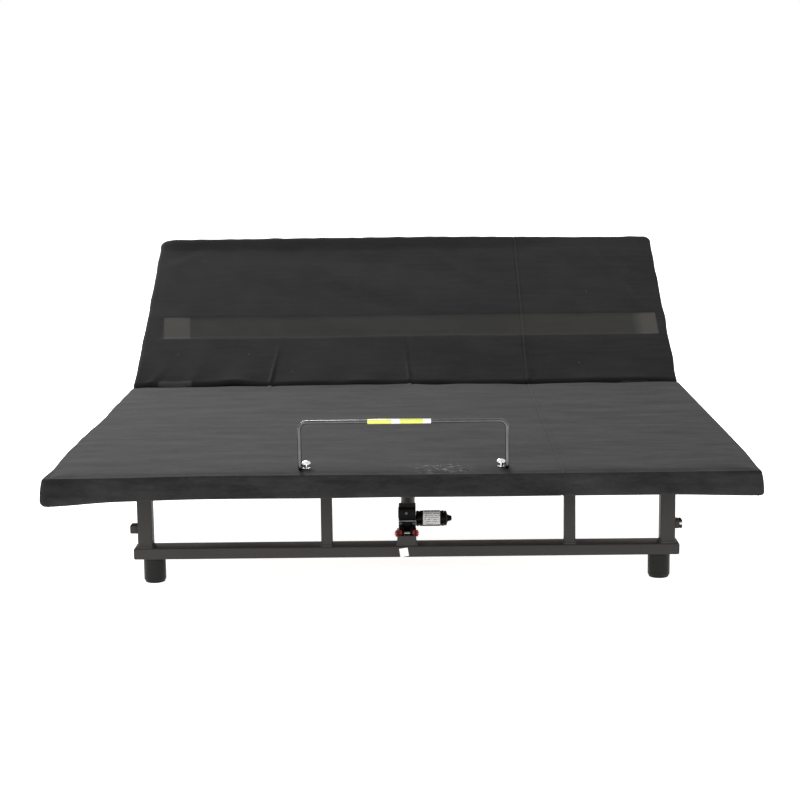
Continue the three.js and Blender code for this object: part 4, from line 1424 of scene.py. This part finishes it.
class BED_OT_stage(bpy.types.Operator):
    """Camera, pale floor and soft studio light"""

    bl_idname = "bed.stage"
    bl_label = "Stage"

    def execute(self, context):
        camera = bpy.data.cameras.new("studio_camera")
        camera.lens = CAMERA_LENS
        camera.sensor_width = 36
        obj = bpy.data.objects.new("studio_camera", camera)
        context.scene.collection.objects.link(obj)
        yaw, pitch, roll = (math.radians(angle) for angle in CAMERA_ANGLES)
        turn = Matrix.Rotation(yaw, 4, "Z") @ Matrix.Rotation(QUARTER - pitch, 4, "X")
        obj.matrix_world = Matrix.Translation(CAMERA_PLACE) @ turn @ Matrix.Rotation(roll, 4, "Z")
        context.scene.camera = obj

        fresh()
        bpy.ops.mesh.primitive_plane_add(size=60, location=(0, 0, -0.0005))
        floor = named("studio_floor")
        glow = {"Emission_Color": (1, 1, 1, 1), "Emission_Strength": FLOOR_GLOW}
        pale = Finish("pale_floor", Roughness=0.9, Specular_IOR_Level=0.1, **glow)
        pale.feed("Base Color", pale.mix(pale.noise(pale.place(), 1.5), grey(0.9), grey(0.93)))
        floor.data.materials.append(pale.material)

        world = bpy.data.worlds.new("studio_world")
        world.use_nodes = True
        world.node_tree.nodes["Background"].inputs["Color"].default_value = (1, 1, 1, 1)
        world.node_tree.nodes["Background"].inputs["Strength"].default_value = 1.0
        context.scene.world = world
        area_light("rear_softbox", (-2.0, 5.0, 3.5), (0, -0.1, 0.3), (3.6, 1.6), 430)
        area_light("front_softbox", (-1.9, -4.4, 1.9), (0, -0.6, 0.15), (1.1, 0.6), 36)
        context.scene.view_settings.view_transform = "Standard"
        return {"FINISHED"}


# ---- Registration -------------------------------------------------------------------------------

BUILD_STEPS = [
    BED_OT_stage, BED_OT_deck_cover, BED_OT_head_cover, BED_OT_hinge_fold, BED_OT_frame_tubes,
    BED_OT_end_plugs, BED_OT_feet, BED_OT_welds, BED_OT_screws, BED_OT_plates, BED_OT_boards,
    BED_OT_gear_housing, BED_OT_motor, BED_OT_drive_tubes, BED_OT_bracket_pin, BED_OT_control_box,
    BED_OT_stub_cap, BED_OT_retainer, BED_OT_sticker,
]


class BED_PT_panel(bpy.types.Panel):
    """The bed base's steps, in the 3D view's sidebar"""

    bl_idname = "BED_PT_panel"
    bl_label = "Bed base"
    bl_space_type = "VIEW_3D"
    bl_region_type = "UI"
    bl_category = "Bed base"

    def draw(self, context):
        for group in (context.scene.bed_sizes, context.scene.bed_colours):
            for name in group.bl_rna.properties.keys():
                if name not in ("rna_type", "name"):
                    self.layout.prop(group, name)
        for step in BUILD_STEPS:
            self.layout.operator(step.bl_idname)


CLASSES = [BedSizes, BedColours, *BUILD_STEPS, BED_PT_panel]


def register():
    for cls in CLASSES:
        bpy.utils.register_class(cls)
    bpy.types.Scene.bed_sizes = PointerProperty(type=BedSizes)
    bpy.types.Scene.bed_colours = PointerProperty(type=BedColours)


def unregister():
    del bpy.types.Scene.bed_colours
    del bpy.types.Scene.bed_sizes
    for cls in reversed(CLASSES):
        bpy.utils.unregister_class(cls)


def main():
    register()
    for step in BUILD_STEPS:
        group, name = step.bl_idname.split(".")
        getattr(getattr(bpy.ops, group), name)()
    fresh()


if __name__ == "__main__":
    main()
